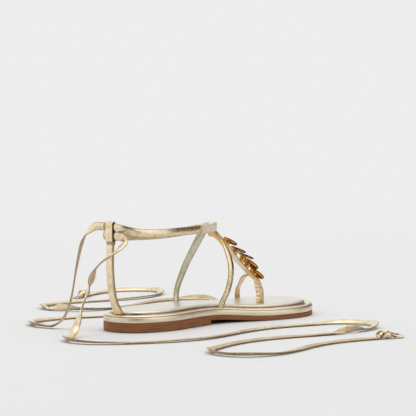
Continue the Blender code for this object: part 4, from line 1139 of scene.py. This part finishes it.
# heel block, flush with the outsole above it, its breast cut straight
medial, lateral = outline(200)
cut = []
for edge_row in (medial, lateral):
    keep = edge_row[edge_row[:, 0] < HEEL_BREAST - 0.7]
    cut.append(np.vstack([keep, [HEEL_BREAST, np.interp(HEEL_BREAST, edge_row[:160, 0], edge_row[:160, 1])]]))
front = np.stack([np.full(21, HEEL_BREAST), np.linspace(cut[0][-1, 1], cut[1][-1, 1], 23)[1:-1]], 1)
loop = np.vstack([cut[0], front, cut[1][:0:-1]])
n = len(loop)
towards = np.array([52.0, 0.0]) - loop
towards /= np.hypot(*towards.T)[:, None]
levels = [(1.1, 0.0), (0.55, 0.08), (0.2, 0.35), (0.03, 0.8), (0.0, 1.4), (0.0, 2.4), (0.0, 3.4), (0.0, 4.2), (0.0, 4.9)]
stack = [np.column_stack([loop + towards * shrink, np.full(n, rise)]) for shrink, rise in levels]
kinds = [0] * (n * (len(levels) - 1)) + [1, 0]
heel = build("heel_block", at(np.vstack(stack)), rings_to_faces(len(levels), n), [brown_edge, tread], kinds, 40.0)

# platform: wrapped roll all round, dipping into a groove at the footbed
over = lambda s: top_z(s)
wall_points = [(0.9, 0.10), (0.30, 0.42), (0.02, 1.3), (-0.05, 2.6), (0.0, 3.8), (0.14, 4.6), (0.50, 5.05), (1.05, 5.20)]
roll_points = [(1.10, 5.32), (0.98, 5.62), (1.40, 6.28), (2.4, 6.80), (3.5, 6.92), (4.7, 6.62), (5.8, 5.9), (6.6, 5.2)]


def wrap_shape(pts):
    """Small unevenness of the wrapped leather, kept off the underside."""
    rise = pts[:, 2] - top_z(pts[:, 0])
    amount = smoothstep(rise, 0.6, 2.0) * (1 - 0.6 * smoothstep(rise, 5.5, 6.6))
    middle = pts.copy()
    middle[:, 1] *= 0.0
    away = unit(np.column_stack([(pts[:, :2] - middle[:, :2]), np.zeros(len(pts))]) + 1e-9)
    push = wobble(pts, 9.0, 31.0, 2) * 0.10 + wobble(pts, 3.0, 32.0, 1) * 0.03
    return pts + away * (push * amount)[:, None]


wall_rings = profile_rings(wall_points, over, steps=3)
roll_rings = profile_rings(roll_points, over, steps=4)
n_platform = 440
# A dark line coloured round the outer shoulder between wall and roll: a painted dark reflection.
shade = [math.exp(-((float(np.ravel(z(0.0) - top_z(0.0))[0]) - 5.28) / 0.46) ** 2) * (inset < 1.6)
         for inset, _, z in wall_rings + roll_rings]
shade += [0.0] * 4000
platform = sole_layer("wrapped_platform", wall_rings + roll_rings, 220, [band_gold], rungs=6,
                      shape=wrap_shape, attributes=lambda count: {"edge": np.concatenate([
                          np.repeat(shade[:len(wall_rings) + len(roll_rings)], n_platform), np.zeros(count)])[:count]})

# footbed: a soft pad, rolled at its edge, with the faint dips of its shape
bed_base = lambda s: top_z(s) + PLATFORM
bed_points = [(RIM + 0.45, -0.9), (RIM + 0.02, 0.1), (RIM, 1.1), (RIM + 0.25, 2.1), (RIM + 1.0, 3.0), (RIM + 2.4, 3.65),
              (RIM + 4.6, 3.95)]
DIPS = [  # along, across, radius along, radius across, depth
    (38.0, 0.0, 34.0, 22.0, 0.75), (176.0, 2.0, 36.0, 30.0, 0.55), (214.0, 17.0, 13.0, 10.0, 0.30),
    (120.0, -4.0, 24.0, 15.0, -0.45),
]
BED_CREASES = [  # along, across, reach across, depth, half length, slant
    (150.0, 6.0, 20.0, 0.12, 1.6, 0.25), (158.0, -12.0, 16.0, 0.10, 1.4, -0.30), (140.0, -8.0, 14.0, 0.09, 1.5, 0.2),
    (66.0, 8.0, 16.0, 0.08, 1.8, 0.3),
]


def bed_top(p, pa, pb, u):
    rise = np.zeros(len(p))
    near_edge = np.minimum(u, 1 - u) * np.linalg.norm(pa[:2] - pb[:2])
    soft = smoothstep(near_edge, 0.0, 9.0)
    for s, m, rs, rm, depth in DIPS:
        rise -= depth * np.exp(-((p[:, 0] - s) / rs) ** 2 - ((p[:, 1] - m) / rm) ** 2)
    for s, m, reach, depth, half_long, slant in BED_CREASES:
        off = p[:, 0] - s - slant * (p[:, 1] - m)
        rise -= depth * np.exp(-(off / half_long) ** 2) * np.exp(-((p[:, 1] - m) / reach) ** 2)
    rise += 0.05 * wobble(p, 11.0, 41.0, 2)
    return rise * soft


bed_rings = profile_rings(bed_points, bed_base, toe=4.0, steps=4)
# The footbed's lower rim is coloured dark: painted shade under the pad's rolled edge.
rim_shade = 1 - smoothstep(np.arange(len(bed_rings)), 5.0, 14.0)
footbed = sole_layer("padded_footbed", bed_rings, 200, [bed_gold], rungs=44, top=bed_top,
                     attributes=lambda count: {"edge": np.concatenate([np.repeat(rim_shade, 400), np.zeros(count)])[:count]})

# cord piping down in the groove between platform and footbed, coloured orange-brown as a painted warm reflection and
# shade in the groove
medial, lateral = outline(240, RIM - 0.15, 4.0)
loop = np.vstack([medial, lateral[-2:0:-1]])
pipe = np.column_stack([loop, top_z(loop[:, 0]) + PLATFORM - 0.45])
t = unit(np.roll(pipe, -1, 0) - np.roll(pipe, 1, 0))
sideways = unit(np.cross(t, np.array([0, 0, 1.0])))
verts = []
for i in range(len(pipe)):
    for j in range(8):
        w = 2 * math.pi * j / 8
        verts.append(pipe[i] + sideways[i] * 1.0 * math.cos(w) + np.array([0, 0, 1.0 * math.sin(w)]))
groove_shade_gold = foil("gold_leather_groove", (0.38, 0.19, 0.06), (0.62, 0.36, 0.12), (0.76, 0.50, 0.20), rough=(0.22, 0.36),
                   broad=0.08)
piping = build("groove_piping", at(np.array(verts)), rings_to_faces(len(pipe), 8, closed_path=True), [groove_shade_gold], None, 60.0)

for piece, node, slot in ((outsole, "outsole", "sole_edge"), (heel, "heel_lift", "sole_edge"),
                          (platform, "platform", "gold_leather"), (footbed, "footbed", "gold_insole")):
    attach(piece, "root")
    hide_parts(node)
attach(piping, "root")

# ------------------------------------------------------ floor, light and world
BACKDROP = 0.851


def floor_material():
    m, nt, p = nodes_of("studio_floor")
    where = nt.nodes.new("ShaderNodeTexCoord").outputs["Object"]
    grain = noise_of(nt, where, 60.0, 4.0)
    nt.links.new(ramp(nt, grain, [(0.3, (0.745, 0.745, 0.748)), (0.7, (0.755, 0.755, 0.758))]), p.inputs["Base Color"])
    p.inputs["Roughness"].default_value = 0.75
    p.inputs["Specular IOR Level"].default_value = 0.15
    away = put(nt, "ShaderNodeVectorMath", {0: where}, operation="LENGTH").outputs["Value"]
    keep = put(nt, "ShaderNodeMapRange", {"Value": away, "From Min": 0.35, "From Max": 1.5, "To Min": 1.0, "To Max": 0.0},
               interpolation_type="SMOOTHSTEP").outputs[0]
    clear = nt.nodes.new("ShaderNodeBsdfTransparent")
    both = nt.nodes.new("ShaderNodeMixShader")
    nt.links.new(keep, both.inputs[0])
    nt.links.new(clear.outputs[0], both.inputs[1])
    nt.links.new(p.outputs[0], both.inputs[2])
    nt.links.new(both.outputs[0], nt.nodes["Material Output"].inputs["Surface"])
    return m


floor_mesh = bpy.data.meshes.new("floor")
bm = bmesh.new()
bmesh.ops.create_circle(bm, cap_ends=True, segments=96, radius=3.0)
bm.to_mesh(floor_mesh)
bm.free()
floor = bpy.data.objects.new("floor", floor_mesh)
floor.location = (0, 0, -0.0002)
floor_mesh.materials.append(floor_material())
bpy.context.scene.collection.objects.link(floor)

world = bpy.data.worlds.new("studio")
bpy.context.scene.world = world
world.use_nodes = True
nt = world.node_tree
bg = nt.nodes["Background"]
where = nt.nodes.new("ShaderNodeTexCoord").outputs["Generated"]


def spread(value, low, high, a=0.0, b=1.0):
    return put(nt, "ShaderNodeMapRange", {"Value": value, "From Min": low, "From Max": high, "To Min": a, "To Max": b},
               interpolation_type="SMOOTHSTEP").outputs[0]


def toward(degrees):
    """The level direction that many degrees from the toe round to the medial side."""
    a = math.radians(degrees)
    return (-math.sin(a), -math.cos(a), 0.0)


def lobe(direction, inner, outer):
    """1 inside a cone about the direction, 0 outside, softly."""
    n = put(nt, "ShaderNodeVectorMath", {0: where, 1: tuple(Vector(direction).normalized())}, operation="DOT_PRODUCT")
    return spread(n.outputs["Value"], math.cos(math.radians(outer)), math.cos(math.radians(inner)))


def panel(degrees, inner, outer, top, fade):
    """1 before a dark panel standing that way, up to the elevation top."""
    level = put(nt, "ShaderNodeVectorMath", {0: where, 1: (1.0, 1.0, 0.0)}, operation="MULTIPLY").outputs[0]
    level = put(nt, "ShaderNodeVectorMath", {0: level}, operation="NORMALIZE").outputs[0]
    n = put(nt, "ShaderNodeVectorMath", {0: level, 1: toward(degrees)}, operation="DOT_PRODUCT").outputs["Value"]
    side_way = spread(n, math.cos(math.radians(outer)), math.cos(math.radians(inner)))
    rise = put(nt, "ShaderNodeSeparateXYZ", {0: where}).outputs[2]
    return maths(nt, "MULTIPLY", side_way, spread(rise, math.sin(math.radians(top)), math.sin(math.radians(top + fade)), 1.0, 0.0))


light = mix(nt, panel(4.0, 29.0, 46.0, 18.0, 26.0), (1.02, 1.02, 1.02), (0.15, 0.115, 0.075))
light = mix(nt, panel(125.0, 24.0, 38.0, 38.0, 14.0), light, (0.17, 0.14, 0.105))
light = mix(nt, panel(76.0, 6.0, 18.0, 42.0, 18.0), light, (1.4, 1.39, 1.37))
light = mix(nt, lobe((-0.15, -0.10, 1.0), 16.0, 33.0), light, (1.7, 1.7, 1.7))
is_camera = nt.nodes.new("ShaderNodeLightPath").outputs["Is Camera Ray"]
nt.links.new(mix(nt, is_camera, light, (BACKDROP, BACKDROP, BACKDROP)), bg.inputs["Color"])
bg.inputs["Strength"].default_value = 1.0


def softbox(name, where, size, power, towards=(0, 0, 0.04), colour=(1, 1, 1)):
    lamp = bpy.data.lights.new(name, "AREA")
    lamp.shape, lamp.size, lamp.size_y = "RECTANGLE", size[0], size[1]
    lamp.energy, lamp.color = power, colour
    obj = bpy.data.objects.new(name, lamp)
    obj.location = where
    obj.rotation_mode = "QUATERNION"
    obj.rotation_quaternion = (Vector(towards) - Vector(where)).to_track_quat("-Z", "Y")
    bpy.context.scene.collection.objects.link(obj)
    return obj


softbox("key_above", (0.15, -0.25, 1.5), (1.3, 1.3), 2.0)

view = bpy.context.scene.view_settings
view.view_transform, view.look, view.exposure, view.gamma = "Standard", "None", 0.0, 1.0
